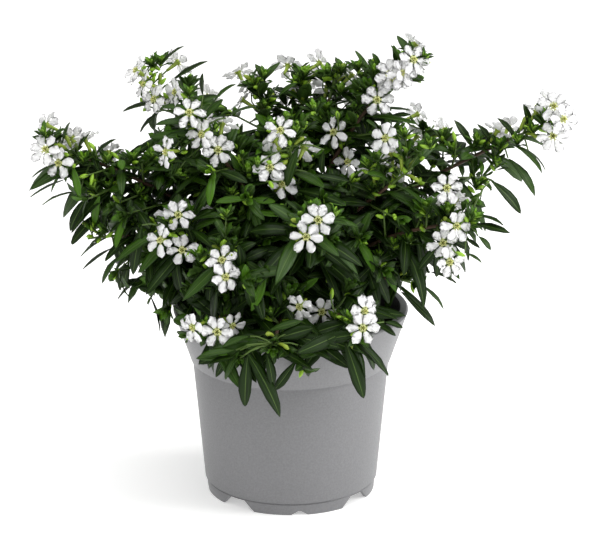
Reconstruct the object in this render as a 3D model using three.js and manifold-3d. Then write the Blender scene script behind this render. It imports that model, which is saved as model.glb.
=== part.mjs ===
// Potted cuphea: a bushy flowering shrub that arches out of a plain nursery pot.
// Millimetres, +Z up, origin on the pot's axis at the floor, -Y towards the viewer.
// Each shoot is one curve from the stem to its tip. Its inner stretch is a bare bough, and its
// outer stretch carries a mass of foliage: a stem, side twigs, paired leaves and white blooms.
import * as THREE from "three";
import { mergeVertices } from "three/addons/utils/BufferGeometryUtils.js";
import Module from "manifold-3d";

const wasm = await Module();
wasm.setup();
const { Manifold, Mesh: SolidMesh } = wasm;

const UP = new THREE.Vector3(0, 0, 1);
const HEART = new THREE.Vector3(0, 0, 130); // the middle of the crown
const CLEARANCE = 0.3; // least distance between separate pieces
const GAP = 0.4; // left where a bough meets the stem or a mass meets its bough
const BERTH = 0.6; // kept round a bough, so that the next one forks off beside it
const WELD = 1e-3; // vertices closer than this are one
const SLIVER = 0.03; // detail finer than this is smoothed away
const SHARED = { twig: 3, bloom: 0.5, leaf: 0.03 }; // mm3 that a piece may share with its mass
const LEAF_TRIES = [
  { turn: 0, size: 1 },
  { turn: 28, size: 1 },
  { turn: -28, size: 1 },
  { turn: 0, size: 0.7 },
];

const POT = {
  height: 97.7,
  segments: 36,
  rimRadius: 60,
  lipWidth: 4,
  rimRound: 0.8,
  collarFootRadius: 51.2,
  collarFootHeight: 70.8,
  collarStep: 1,
  wall: 1.4,
  bodyFootRadius: 44.4,
  floorHeight: 5.7,
  floorThickness: 1.6,
  footRadius: 43.1,
  footWall: 2,
  padRadius: 11,
};
// The foot ring is broken by four slanted gaps, with a small notch in the middle of each foot.
const FOOT_GAP = { count: 4, firstDeg: -39, halfTopMm: 4.6, halfBottomMm: 10, height: 5.4 };
const FOOT_NOTCH = { count: 4, firstDeg: 6, halfTopMm: 0.7, halfBottomMm: 4.4, height: 2.2 };
const DRAIN = { count: 4, firstDeg: 6, radius: 4, fromAxis: 27, sides: 8 };

const SOIL = { top: 88, mound: 2.2, bumps: 0.7, rings: 3, segments: 20 };
const STEM = { height: 21, radius: 4.6, flareRadius: 6.6, topRadius: 3.4, leanX: 1.2, sides: 8, steps: 6 };
const BOUGH = { radius: 1.9, endRadius: 1.15, sides: 4, steps: 3, buried: 1.6, steeper: 24 };
const TWIG = { radius: 1.1, tipRadius: 0.6, sideRadius: 0.5, sides: 3 };

const LEAF = { length: 36, slimness: 0.35, widest: 0.48, thickness: 1.1, shortOnTop: 0.25 };
const FIRST_SEED = 101; // of the first mass's draws
const SEED_STEP = 17; // from one mass's seed to the next
const MAIN_STEP = 20; // length of a main stem's straight steps
const NODE_SPACING = 14.5; // between two pairs of leaves on a main stem
const SIDE_SPACING = 11; // between two pairs of leaves on a side twig
const SIDE_LENGTH = { old: 34, young: 13 };
const BLOOM = { petals: 6, radius: 8.6, cup: 1, thickness: 1, tube: 14, tubeRadius: 1.3 };

// Each shoot's tip, the rise of its last stretch in degrees, the share of its length that is
// bare bough, how far its leaves hang, its blooms and the bearing that they look to.
const SHOOTS = [
  { name: "left_reach", tip: [-121, -8, 186], rise: 22, bare: 0.34, hang: 0.8, blooms: 3, look: -112 },
  { name: "left_crest", tip: [-77, 14, 217], rise: 46, bare: 0.36, hang: 0.2, blooms: 3, look: -150 },
  { name: "left_shoulder", tip: [-46, -32, 205], rise: 60, bare: 0.34, hang: 0.3, blooms: 2, look: -95 },
  { name: "crown_left", tip: [-18, 20, 214], rise: 72, bare: 0.36, hang: 0.2, blooms: 1, look: 150 },
  { name: "crown_middle", tip: [6, 30, 212], rise: 80, bare: 0.38, hang: 0.2, blooms: 1, look: 95 },
  { name: "crown_right", tip: [24, 26, 216], rise: 66, bare: 0.36, hang: 0.2, blooms: 1, look: 60 },
  { name: "right_crest", tip: [63, 8, 226], rise: 40, bare: 0.36, hang: 0.3, blooms: 3, look: -75 },
  { name: "right_reach", tip: [134, -6, 199], rise: 26, bare: 0.34, hang: 0.8, blooms: 3, look: -60 },
  { name: "right_rear", tip: [74, 44, 181], rise: 48, bare: 0.34, hang: 0.3, blooms: 2, look: 35 },
  { name: "right_flank", tip: [90, -46, 156], rise: 8, bare: 0.34, hang: 0.7, blooms: 3, look: -72 },
  { name: "right_skirt", tip: [70, -16, 112], rise: -28, bare: 0.34, hang: 0.9, blooms: 0, look: -60 },
  { name: "front_right_skirt", tip: [34, -78, 108], rise: -14, bare: 0.34, hang: 0.9, blooms: 2, look: -84 },
  { name: "front_skirt", tip: [-8, -84, 104], rise: -18, bare: 0.36, hang: 0.9, blooms: 1, look: -88 },
  { name: "front_face", tip: [8, -70, 162], rise: 24, bare: 0.34, hang: 0.5, blooms: 3, look: -92 },
  { name: "front_left_skirt", tip: [-42, -72, 108], rise: -14, bare: 0.34, hang: 0.9, blooms: 3, look: -96 },
  { name: "left_front", tip: [-33, -64, 144], rise: 14, bare: 0.34, hang: 0.6, blooms: 2, look: -94 },
  { name: "left_skirt", tip: [-76, -20, 108], rise: -32, bare: 0.34, hang: 0.9, blooms: 0, look: -120 },
  { name: "left_bank", tip: [-102, -14, 138], rise: -8, bare: 0.34, hang: 0.8, blooms: 0, look: -130 },
  { name: "left_flank", tip: [-62, -46, 153], rise: 16, bare: 0.34, hang: 0.6, blooms: 3, look: -98 },
  { name: "front_crest", tip: [0, -38, 195], rise: 62, bare: 0.36, hang: 0.3, blooms: 2, look: -92 },
  { name: "right_shoulder", tip: [60, -34, 181], rise: 42, bare: 0.34, hang: 0.4, blooms: 3, look: -80 },
  { name: "rear_left_skirt", tip: [-54, 62, 124], rise: -8, bare: 0.34, hang: 0.8, blooms: 2, look: 132 },
  { name: "rear_right_skirt", tip: [56, 64, 120], rise: -10, bare: 0.34, hang: 0.8, blooms: 2, look: 48 },
  { name: "rear_face", tip: [2, 82, 150], rise: 18, bare: 0.34, hang: 0.5, blooms: 2, look: 90 },
  { name: "rear_left_crest", tip: [-48, 54, 186], rise: 46, bare: 0.34, hang: 0.3, blooms: 2, look: 130 },
  { name: "rear_right_crest", tip: [42, 46, 208], rise: 56, bare: 0.36, hang: 0.3, blooms: 2, look: 70 },
];

const FINISHES = {
  pot: { color: 0x8f9091, roughness: 0.5, metalness: 0 },
  soil: { color: 0x2b201a, roughness: 0.95, metalness: 0 },
  bark: { color: 0x5a4233, roughness: 0.8, metalness: 0 },
  foliage: { color: 0x2f4a1c, roughness: 0.45, metalness: 0 },
};

// Small helpers

function seededRandom(seed) {
  let state = seed >>> 0;
  return () => {
    state = (state + 0x6d2b79f5) >>> 0;
    let mixed = Math.imul(state ^ (state >>> 15), state | 1);
    mixed ^= mixed + Math.imul(mixed ^ (mixed >>> 7), mixed | 61);
    return ((mixed ^ (mixed >>> 14)) >>> 0) / 4294967296;
  };
}

const blend = (a, b, share) => a + (b - a) * share;

const radians = THREE.MathUtils.degToRad;

function bearing(degrees, rise = 0) {
  const [turn, lift] = [radians(degrees), radians(rise)];
  const level = Math.cos(lift);
  return new THREE.Vector3(Math.cos(turn) * level, Math.sin(turn) * level, Math.sin(lift));
}

// A weighted sum of directions, made one unit long.
function heading(...terms) {
  const sum = new THREE.Vector3();
  for (const [direction, weight] of terms) sum.addScaledVector(direction, weight);
  return sum.normalize();
}

function solidOf(geometry) {
  const bare = new THREE.BufferGeometry();
  bare.setAttribute("position", geometry.getAttribute("position").clone());
  bare.setIndex(geometry.index);
  const merged = mergeVertices(bare, WELD);
  const vertProperties = new Float32Array(merged.attributes.position.array);
  const triVerts = new Uint32Array(merged.index.array);
  return new Manifold(new SolidMesh({ numProp: 3, vertProperties, triVerts }));
}

function geometryOf(solid) {
  const { vertProperties, triVerts } = solid.getMesh();
  const geometry = new THREE.BufferGeometry();
  geometry.setAttribute("position", new THREE.BufferAttribute(vertProperties, 3));
  geometry.setIndex(new THREE.BufferAttribute(triVerts, 1));
  return geometry;
}

function meshOf(name, solid, finish) {
  const mesh = new THREE.Mesh(geometryOf(solid), new THREE.MeshStandardMaterial(FINISHES[finish]));
  mesh.name = name;
  return mesh;
}

// The largest outer body of a solid: loose scraps are dropped and sealed hollows filled.
function mainBody(solid) {
  return solid.decompose().reduce((a, b) => (b.volume() > a.volume() ? b : a));
}

// A fused solid without the slivers that its seams leave.
function tidied(solid) {
  let body = mainBody(solid).simplify(SLIVER);
  for (let before = 0; before !== body.numTri(); ) {
    before = body.numTri();
    body = mainBody(solidOf(geometryOf(body)));
  }
  return body;
}

// Moves each point of a shape: place(old, point) reads the old place and sets the new point.
function shaped(geometry, place) {
  const positions = geometry.getAttribute("position");
  const old = new THREE.Vector3();
  const point = new THREE.Vector3();
  for (let i = 0; i < positions.count; i++) {
    old.fromBufferAttribute(positions, i);
    place(old, point.copy(old));
    positions.setXYZ(i, point.x, point.y, point.z);
  }
  return geometry;
}

// The directions across a line: to its side, as near as can be to a given one, and over it.
function across(along, aside) {
  const side = aside.clone().addScaledVector(along, -aside.dot(along)).normalize();
  return { side, over: new THREE.Vector3().crossVectors(side, along) };
}

// A limb's centre line: evenly spaced points of a curve, from one share of its length to another.
function centreLine(curve, from, to, steps) {
  const points = [];
  for (let i = 0; i <= steps; i++) points.push(curve.getPointAt(blend(from, to, i / steps)));
  return points;
}

function pointOn(line, share) {
  const at = share * (line.length - 1);
  const i = Math.min(Math.floor(at), line.length - 2);
  return line[i].clone().lerp(line[i + 1], at - i);
}

// A tapering limb along a centre line, with a ring of corners round each of its points.
function limb(line, radii, sides, aside) {
  const steps = line.length - 1;
  const tube = new THREE.CylinderGeometry(1, 1, 1, sides, steps);
  return solidOf(
    shaped(tube, ({ x, y, z }, point) => {
      const share = y + 0.5;
      const i = Math.round(share * steps);
      const along = line[Math.min(i + 1, steps)].clone().sub(line[Math.max(i - 1, 0)]).normalize();
      const radius = blend(radii[0], radii[1], share);
      const { side, over } = across(along, aside);
      point.copy(line[i]).addScaledVector(side, x * radius).addScaledVector(over, z * radius);
    }),
  );
}

// Pot, soil and stem

function footCutter({ halfTopMm, halfBottomMm, height }, degrees) {
  const below = -1;
  const slope = (halfBottomMm - halfTopMm) / height;
  const outline = new THREE.Shape([
    new THREE.Vector2(-halfBottomMm + below * slope, below),
    new THREE.Vector2(halfBottomMm - below * slope, below),
    new THREE.Vector2(halfTopMm, height),
    new THREE.Vector2(-halfTopMm, height),
  ]);
  const depth = 3 * POT.footWall;
  const cutter = new THREE.ExtrudeGeometry(outline, { depth, bevelEnabled: false });
  cutter.rotateX(Math.PI / 2);
  cutter.translate(0, -(POT.footRadius - 1.6 * POT.footWall), 0);
  cutter.rotateZ(radians(degrees));
  return solidOf(cutter);
}

function buildPot() {
  const innerFloor = POT.floorHeight + POT.floorThickness;
  const innerFootRadius = POT.bodyFootRadius - POT.wall;
  const profile = [
    [0, 0],
    [POT.padRadius, 0],
    [POT.padRadius + 1.5, POT.floorHeight],
    [POT.footRadius - POT.footWall, POT.floorHeight],
    [POT.footRadius - POT.footWall, 0],
    [POT.footRadius, 0],
    [POT.footRadius + 0.4, POT.floorHeight],
    [POT.bodyFootRadius, POT.floorHeight + 0.9],
    [POT.collarFootRadius - POT.collarStep, POT.collarFootHeight - 0.6],
    [POT.collarFootRadius, POT.collarFootHeight],
    [POT.rimRadius, POT.height - POT.rimRound],
    [POT.rimRadius - POT.rimRound, POT.height],
    [POT.rimRadius - POT.lipWidth, POT.height],
    [POT.collarFootRadius - POT.collarStep - POT.wall, POT.collarFootHeight - 0.6],
    [innerFootRadius, innerFloor],
    [0, innerFloor],
  ].map(([radius, height]) => new THREE.Vector2(radius, height));
  const lathe = new THREE.LatheGeometry(profile, POT.segments).rotateX(Math.PI / 2);
  let pot = solidOf(lathe);
  const cutters = [];
  for (const gap of [FOOT_GAP, FOOT_NOTCH]) {
    for (let i = 0; i < gap.count; i++) {
      cutters.push(footCutter(gap, gap.firstDeg + (360 / gap.count) * i));
    }
  }
  for (let i = 0; i < DRAIN.count; i++) {
    const hole = new THREE.CylinderGeometry(DRAIN.radius, DRAIN.radius, innerFloor, DRAIN.sides);
    hole.rotateX(Math.PI / 2).translate(0, -DRAIN.fromAxis, POT.floorHeight);
    hole.rotateZ(radians(DRAIN.firstDeg + (360 / DRAIN.count) * i));
    cutters.push(solidOf(hole));
  }
  for (const cutter of cutters) pot = pot.subtract(cutter);
  return mainBody(pot);
}

// The radius of the pot's inner wall at a height.
function innerRadius(height) {
  const low = POT.floorHeight + POT.floorThickness;
  const mid = POT.collarFootHeight - 0.6;
  const midRadius = POT.collarFootRadius - POT.collarStep - POT.wall;
  if (height < mid) {
    return blend(POT.bodyFootRadius - POT.wall, midRadius, (height - low) / (mid - low));
  }
  return blend(midRadius, POT.rimRadius - POT.lipWidth, (height - mid) / (POT.height - mid));
}

function buildSoil() {
  const bottom = POT.floorHeight + POT.floorThickness + CLEARANCE;
  const profile = [[0, bottom]];
  for (const height of [bottom, POT.collarFootHeight - 0.6, SOIL.top]) {
    profile.push([innerRadius(height) - 1.5 * CLEARANCE, height]);
  }
  const edge = profile.at(-1)[0];
  for (let ring = SOIL.rings; ring >= 0; ring--) {
    const share = ring / (SOIL.rings + 1);
    profile.push([edge * share, SOIL.top + SOIL.mound * (1 - share * share)]);
  }
  const points = profile.map(([radius, height]) => new THREE.Vector2(radius, height));
  const lathe = new THREE.LatheGeometry(points, SOIL.segments).rotateX(Math.PI / 2);
  const shape = shaped(lathe, ({ x, y, z }, point) => {
    if (z <= SOIL.top || Math.hypot(x, y) < 1) return;
    point.z += SOIL.bumps * Math.sin(0.31 * x + 1) * Math.cos(0.27 * y);
  });
  return mainBody(solidOf(shape));
}

// The height of the stem's flat cut, just over the soil.
const stemFoot = SOIL.top + SOIL.mound + CLEARANCE;

// The stem flares out over its lowest stretch.
function stemRadius(share) {
  const flare = Math.max(0, 1 - share / 0.3) ** 2 * (STEM.flareRadius - STEM.radius);
  return blend(STEM.radius, STEM.topRadius, share) + flare;
}

function buildStem(grow = 0) {
  const tube = new THREE.CylinderGeometry(1, 1, 1, STEM.sides, STEM.steps);
  return solidOf(
    shaped(tube, ({ x, y, z }, point) => {
      const share = y + 0.5;
      const radius = stemRadius(share) + grow;
      const height = stemFoot - grow + share * (STEM.height + 2 * grow);
      point.set(z * radius + STEM.leanX * share, x * radius, height);
    }),
  );
}

// Shoots: one curve each, from the stem to the tip

// Shoots leave the stem in order of how steeply they climb, the lowest first.
function shootCurve(shoot, tier) {
  const [x, y, z] = shoot.tip;
  const tip = new THREE.Vector3(x, y, z);
  const degrees = THREE.MathUtils.radToDeg(Math.atan2(y, x));
  const share = blend(0.16, 0.94, tier);
  const foot = bearing(degrees).multiplyScalar(stemRadius(share) - BOUGH.buried);
  foot.x += STEM.leanX * share;
  foot.z = stemFoot + STEM.height * share;
  const level = new THREE.Vector3(tip.x - foot.x, tip.y - foot.y, 0).normalize();
  const reach = tip.distanceTo(foot);
  const climb = THREE.MathUtils.radToDeg(Math.asin((tip.z - foot.z) / reach));
  const start = radians(Math.min(86, climb + BOUGH.steeper));
  const end = radians(shoot.rise);
  const first = heading([level, Math.cos(start)], [UP, Math.sin(start)]);
  const last = heading([level, Math.cos(end)], [UP, Math.sin(end)]);
  const curve = new THREE.CubicBezierCurve3(
    foot,
    foot.clone().addScaledVector(first, 0.36 * reach),
    tip.clone().addScaledVector(last, -0.34 * reach),
    tip,
  );
  return { curve, aside: new THREE.Vector3().crossVectors(level, UP), length: curve.getLength() };
}

function climbOf({ tip: [x, y, z] }) {
  return Math.atan2(z - stemFoot, Math.hypot(x, y));
}

// A mass's twigs, leaves and blooms, drawn by a seeded rule along its main stem.
function growMass({ shoot, seed, curve, aside, length, line }) {
  const draw = seededRandom(seed);
  const look = bearing(shoot.look, 24);
  const count = Math.max(3, Math.round((length * (1 - shoot.bare)) / NODE_SPACING));
  const mass = { twigs: [], leaves: [], blooms: [] };
  for (let k = 0; k < count; k++) {
    const youth = (k + 0.55) / count;
    const point = pointOn(line, youth);
    const along = curve.getTangentAt(blend(shoot.bare, 1, youth));
    const { side, over } = across(along, aside);
    const turn = radians(90 * k + 40 + 26 * (draw() - 0.5));
    for (const half of [1, -1]) {
      const out = heading([side, half * Math.cos(turn)], [over, half * Math.sin(turn)]);
      const size = blend(1, 0.72, youth ** 2) * (0.84 + 0.32 * draw());
      const hang = shoot.hang * (0.6 + 0.8 * draw());
      mass.leaves.push(pairedLeaf({ point, along, out, size, hang, youth }));
      const sideDraw = draw();
      const lengthDraw = draw();
      const takesTwig = youth < 0.86 && (k + (half > 0 ? 0 : 1)) % 2 === 0;
      if (takesTwig && out.z > -0.75) {
        const upright = Math.max(0, out.z);
        const full = blend(SIDE_LENGTH.old, SIDE_LENGTH.young, youth) * (1 - 0.4 * upright);
        const twig = sideTwig({ point, along, out, length: full * (0.75 + 0.5 * lengthDraw) });
        twig.leaves = twigLeaves(twig, draw, shoot.hang, youth);
        if (sideDraw < 0.22 && shoot.blooms > 0) {
          const direction = heading([twig.last, 0.2], [look, 1]);
          mass.blooms.push(bloomAt(pointOn(twig.line, 0.95), direction, look, draw));
        }
        mass.twigs.push(twig);
      }
    }
    const fromTip = count - 1 - k;
    for (let i = 2 * fromTip; i < Math.min(shoot.blooms, 2 * fromTip + 2); i++) {
      const sway = (i % 2 ? -1 : 1) * (0.35 + 0.5 * draw());
      const direction = heading([look, 1], [side, sway], [along, 0.2]);
      mass.blooms.push(bloomAt(point, direction, look, draw));
    }
  }
  mass.leaves.push(...tipTuft(line, curve.getTangentAt(1), aside, 0.5));
  return mass;
}

function pairedLeaf({ point, along, out, size, hang, youth }) {
  const forward = blend(0.45, 0.9, youth);
  const direction = heading([along, forward], [out, 1], [UP, -hang]);
  const face = heading([along, 0.55], [UP, 0.9]);
  const length = LEAF.length * size * (1 - LEAF.shortOnTop * Math.max(0, out.z));
  return { root: point, along, direction, face, length };
}

function sideTwig({ point, along, out, length }) {
  const first = heading([along, 0.55], [out, 0.9], [UP, 0.15]);
  const last = heading([along, 0.25], [out, 0.45], [UP, 0.8]);
  const middle = point.clone().addScaledVector(first, 0.5 * length);
  const tip = middle.clone().addScaledVector(last, 0.5 * length);
  const line = [point, middle, tip];
  const aside = new THREE.Vector3().crossVectors(along, out).normalize();
  return { line, length, first, last, aside, leaves: [] };
}

function twigLeaves(twig, draw, hang, youth) {
  const leaves = [];
  const pairs = Math.max(1, Math.floor(twig.length / SIDE_SPACING));
  for (let k = 0; k < pairs; k++) {
    const at = (k + 0.75) / (pairs + 0.35);
    const point = pointOn(twig.line, at);
    const along = heading([twig.first, 1 - at], [twig.last, at]);
    const { side, over } = across(along, twig.aside);
    const turn = radians(90 * k + 50 * draw());
    for (const half of [1, -1]) {
      const out = heading([side, half * Math.cos(turn)], [over, half * Math.sin(turn)]);
      const size = blend(0.82, 0.62, at) * (0.85 + 0.3 * draw());
      const age = { hang: hang * 0.6, youth: 0.5 * youth + 0.5 * at };
      leaves.push(pairedLeaf({ point, along, out, size, ...age }));
    }
  }
  return leaves;
}

// The small steep leaves at a growing tip.
function tipTuft(line, along, aside, size) {
  const { side, over } = across(along, aside);
  return [1, -1].map((half) => {
    const out = heading([side, half], [over, 0.4 * half]);
    const direction = heading([along, 1.5], [out, 1]);
    const face = heading([along, 1], [out, -1]);
    return { root: pointOn(line, 0.96), along, direction, face, length: LEAF.length * size };
  });
}

function bloomAt(point, direction, look, draw) {
  const aside = new THREE.Vector3().crossVectors(UP, look);
  const length = BLOOM.tube * (0.85 + 0.4 * draw());
  return { root: point, direction, aside, length, spin: draw() * Math.PI };
}

// Solids of one leaf and one bloom

// A flat tetrahedron: its keel runs from root to tip, and its two edges lie above the keel.
function leafSolid({ root, direction, face, length }) {
  const side = new THREE.Vector3().crossVectors(face, direction).normalize();
  const top = new THREE.Vector3().crossVectors(direction, side);
  return solidOf(
    shaped(new THREE.TetrahedronGeometry(1), ({ x, y }, point) => {
      const isEnd = x * y < 0;
      const forward = isEnd ? (y > 0 ? length : 0) : LEAF.widest * length;
      const aside = isEnd ? 0 : -0.5 * Math.sign(y) * LEAF.slimness * length;
      point.copy(root).addScaledVector(direction, forward);
      point.addScaledVector(side, aside).addScaledVector(top, isEnd ? 0 : LEAF.thickness);
    }),
  );
}

// A slim tube from the twig to a flat disc with a corner for each petal, as a sphere of four
// rows of corners: the root, the neck under the disc, the disc's rim and its middle.
function bloomSolid({ root, direction, aside, length, spin }) {
  const { side, over } = across(direction, aside);
  const rows = [
    [0, 0],
    [BLOOM.tubeRadius, length - BLOOM.thickness],
    [BLOOM.radius, length + BLOOM.cup],
    [0, length],
  ];
  return solidOf(
    shaped(new THREE.SphereGeometry(1, BLOOM.petals, rows.length - 1), ({ x, y, z }, point) => {
      const row = Math.round((Math.asin(THREE.MathUtils.clamp(y, -1, 1)) / Math.PI + 0.5) * 3);
      const [radius, forward] = rows[row];
      const angle = Math.atan2(z, x) + spin;
      point.copy(root).addScaledVector(direction, forward);
      point.addScaledVector(side, radius * Math.cos(angle));
      point.addScaledVector(over, radius * Math.sin(angle));
    }),
  );
}

// Assembly: every piece that stands is kept in a list, with the node that owns it

const placed = [];

function keep(solid, owner) {
  placed.push({ solid, owner, box: solid.boundingBox() });
  return solid;
}

function boxesMeet(a, b, margin) {
  return [0, 1, 2].every((i) => a.min[i] - margin < b.max[i] && b.min[i] - margin < a.max[i]);
}

// Whether a solid comes too near to a piece of another node.
function crowds(solid, owner) {
  const box = solid.boundingBox();
  return placed.some(
    (other) =>
      other.owner !== owner &&
      boxesMeet(box, other.box, CLEARANCE) &&
      solid.minGap(other.solid, 2 * CLEARANCE) < CLEARANCE,
  );
}

// Whether a solid passes through a piece of its own mass by more than a root does.
function crosses(solid, pieces, sharing) {
  const box = solid.boundingBox();
  return pieces.some(
    (other) =>
      boxesMeet(box, other.boundingBox(), 0) && solid.intersect(other).volume() > sharing,
  );
}

function tryPiece(mass, solid, sharing) {
  const stands = !crowds(solid, mass.name) && !crosses(solid, mass.pieces, sharing);
  if (stands) mass.pieces.push(keep(solid, mass.name));
  return stands;
}

// The bare stretch of a shoot, made thicker and longer by grow.
function boughLimb({ shoot, curve, length, aside }, grow = 0) {
  const line = centreLine(curve, 0, shoot.bare + grow / length, BOUGH.steps);
  return limb(line, [BOUGH.radius + grow, BOUGH.endRadius + grow], BOUGH.sides, aside);
}

// The leafy stretch of a shoot, past the gap at its bough's tip.
function leafyLine({ shoot, curve, length }) {
  const steps = Math.round((length * (1 - shoot.bare)) / MAIN_STEP);
  return centreLine(curve, shoot.bare + GAP / length, 1, Math.max(4, steps));
}

function turnedLeaf(leaf, { turn, size }) {
  const angle = radians(turn);
  return {
    root: leaf.root,
    direction: leaf.direction.clone().applyAxisAngle(leaf.along, angle),
    face: leaf.face.clone().applyAxisAngle(leaf.along, angle),
    length: leaf.length * size,
  };
}

function placeTwigs(mass) {
  for (const twig of mass.grown.twigs) {
    const solid = limb(twig.line, [TWIG.sideRadius, TWIG.tipRadius], TWIG.sides, twig.aside);
    if (tryPiece(mass, solid, SHARED.twig)) mass.grown.leaves.push(...twig.leaves);
  }
  mass.grown.leaves.sort((a, b) => b.root.distanceTo(HEART) - a.root.distanceTo(HEART));
}

function placeBlooms(mass) {
  for (const bloom of mass.grown.blooms) tryPiece(mass, bloomSolid(bloom), SHARED.bloom);
}

// The masses take turns, each with its outermost leaf that is still to be placed.
function placeLeaves(masses) {
  const most = Math.max(...masses.map(({ grown }) => grown.leaves.length));
  for (let i = 0; i < most; i++) {
    for (const mass of masses.filter(({ grown }) => i < grown.leaves.length)) {
      const leaf = mass.grown.leaves[i];
      LEAF_TRIES.some((change) => tryPiece(mass, leafSolid(turnedLeaf(leaf, change)), SHARED.leaf));
    }
  }
}

function buildPlant() {
  const nodes = [
    meshOf("pot", keep(buildPot(), "pot"), "pot"),
    meshOf("soil", keep(buildSoil(), "soil"), "soil"),
    meshOf("stem", keep(buildStem(), "stem"), "bark"),
  ];
  const order = [...SHOOTS].sort((a, b) => climbOf(a) - climbOf(b));
  let taken = buildStem(BERTH);
  const masses = SHOOTS.map((shoot, index) => {
    const tier = order.indexOf(shoot) / (order.length - 1);
    const made = { shoot, seed: FIRST_SEED + SEED_STEP * index, ...shootCurve(shoot, tier) };
    const name = `bough_${shoot.name}`;
    nodes.push(meshOf(name, keep(tidied(boughLimb(made).subtract(taken)), name), "bark"));
    taken = taken.add(boughLimb(made, BERTH));
    const line = leafyLine(made);
    return { ...made, line, name: `foliage_${shoot.name}`, grown: growMass({ ...made, line }) };
  });
  for (const mass of masses) {
    const main = limb(mass.line, [TWIG.radius, TWIG.tipRadius], TWIG.sides, mass.aside);
    mass.pieces = [keep(main, mass.name)];
  }
  masses.forEach(placeTwigs);
  masses.forEach(placeBlooms);
  placeLeaves(masses);
  for (const mass of masses) {
    nodes.push(meshOf(mass.name, tidied(Manifold.union(mass.pieces)), "foliage"));
  }
  return nodes;
}

const cuphea = new THREE.Group();
cuphea.name = "potted_cuphea";
cuphea.add(...buildPlant());

export default cuphea;
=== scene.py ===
"""The looks of a potted cuphea: a white-flowered shrub in a grey nursery pot, round its frame.

The plant grows by the rule of its solids: each shoot is one curve from the stem to its tip, with
paired leaves, side twigs and blooms. Here it is carried on to finer twigs, rosettes and buds.
Lengths are in millimetres until a mesh is made.
"""

import logging
import math
from collections.abc import Iterable, Sequence
from dataclasses import dataclass, field
from enum import Enum

import bmesh
import bpy
import numpy as np
from mathutils import Matrix, Vector, noise


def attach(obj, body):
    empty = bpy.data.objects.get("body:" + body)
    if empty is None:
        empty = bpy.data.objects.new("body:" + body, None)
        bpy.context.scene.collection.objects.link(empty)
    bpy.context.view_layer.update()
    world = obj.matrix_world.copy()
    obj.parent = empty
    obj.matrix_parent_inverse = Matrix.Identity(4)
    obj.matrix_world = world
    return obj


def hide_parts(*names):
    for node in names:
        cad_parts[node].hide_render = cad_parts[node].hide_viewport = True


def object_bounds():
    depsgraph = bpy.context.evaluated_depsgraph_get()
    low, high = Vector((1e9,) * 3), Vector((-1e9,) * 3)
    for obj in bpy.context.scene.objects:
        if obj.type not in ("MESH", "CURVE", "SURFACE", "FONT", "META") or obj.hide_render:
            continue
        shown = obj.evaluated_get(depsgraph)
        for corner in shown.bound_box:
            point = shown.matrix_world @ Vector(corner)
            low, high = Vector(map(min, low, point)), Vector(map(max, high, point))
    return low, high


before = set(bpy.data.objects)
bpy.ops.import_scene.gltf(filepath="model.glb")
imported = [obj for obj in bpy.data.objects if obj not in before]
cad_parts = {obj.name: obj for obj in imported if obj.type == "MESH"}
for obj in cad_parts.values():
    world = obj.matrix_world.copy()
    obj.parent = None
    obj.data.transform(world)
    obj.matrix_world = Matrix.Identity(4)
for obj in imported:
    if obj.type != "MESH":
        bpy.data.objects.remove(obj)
CAD_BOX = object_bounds()

LOG = logging.getLogger("potted_cuphea")
MM = 0.001
UP = np.array([0.0, 0.0, 1.0])
# The seeded draw counts in 32 bits.
MASK = 0xFFFFFFFF
# No leaf's tip reaches out of the solids' box, which counts as a little lower than it is.
TOP_ROOM = 3.0
REACH = np.array([list(corner) for corner in CAD_BOX]) * 1000 - ((0, 0, 0), (0, 0, TOP_ROOM))

# The photo's camera: its frame in pixels, its place in millimetres and its downward tilt.
PHOTO_WIDTH, PHOTO_HEIGHT = 600, 548
CAMERA_PLACE = np.array([4.75, -1500.0, 609.02])
CAMERA_TILT = 18.238
FOCAL_PIXELS = 3101.45
SENSOR_WIDTH = 36.0
AHEAD = np.array([0.0, math.cos(math.radians(CAMERA_TILT)), -math.sin(math.radians(CAMERA_TILT))])
RIGHTWARD = np.array([1.0, 0.0, 0.0])
UPWARD = np.cross(RIGHTWARD, AHEAD)

# Driving sizes that the solids share.
POT_HEIGHT, RIM_RADIUS, LIP_WIDTH = 97.7, 60.0, 4.0
COLLAR_RADIUS, COLLAR_HEIGHT, COLLAR_STEP = 51.2, 70.8, 1.0
BODY_FOOT_RADIUS, FLOOR_HEIGHT, FLOOR_THICKNESS, WALL = 44.4, 5.7, 1.6, 1.4
FOOT_RADIUS, FOOT_WALL, PAD_RADIUS = 43.1, 2.0, 11.0
SOIL_TOP, SOIL_MOUND, CLEARANCE = 88.0, 2.2, 0.3
STEM_FOOT = SOIL_TOP + SOIL_MOUND + CLEARANCE
STEM_HEIGHT, STEM_RADIUS, STEM_FLARE, STEM_TOP, STEM_LEAN = 21.0, 4.6, 6.6, 3.4, 1.2
BOUGH_RADIUS, BOUGH_END, BOUGH_BURIED, BOUGH_STEEPER = 1.9, 1.15, 1.6, 24.0
FIRST_SEED, SEED_STEP = 101, 17
# Shoots with a lower tip are skirts, few leaves hang deeper than the second height, and up to the
# third the crown counts as low, with fewer and darker growing tips.
LOW_TIP, DEEP_TIP, LOW_CROWN = 115.0, 78.0, 140.0
# The crown's middle, which blooms look away from and lights look at.
CROWN_HEART = (0.0, 0.0, 120.0)
# The crown's underside on each side: its height at the collar's radius and how steeply it rises.
SKIRT_HALF = 48.0
LEFT_UNDERSIDE, RIGHT_UNDERSIDE = (76.0, 0.95), (55.0, 1.5)
# The foliage leaves the right end of the rim free: from this X on, within this radius and height.
OPEN_RIM_START, OPEN_RIM_BACK, OPEN_RIM_RADIUS, OPEN_RIM_TOP = 49.0, 25.0, 68.0, 110.0
# The gap that leaves and twigs keep from the pot.
POT_ROOM = 1.9
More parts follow.
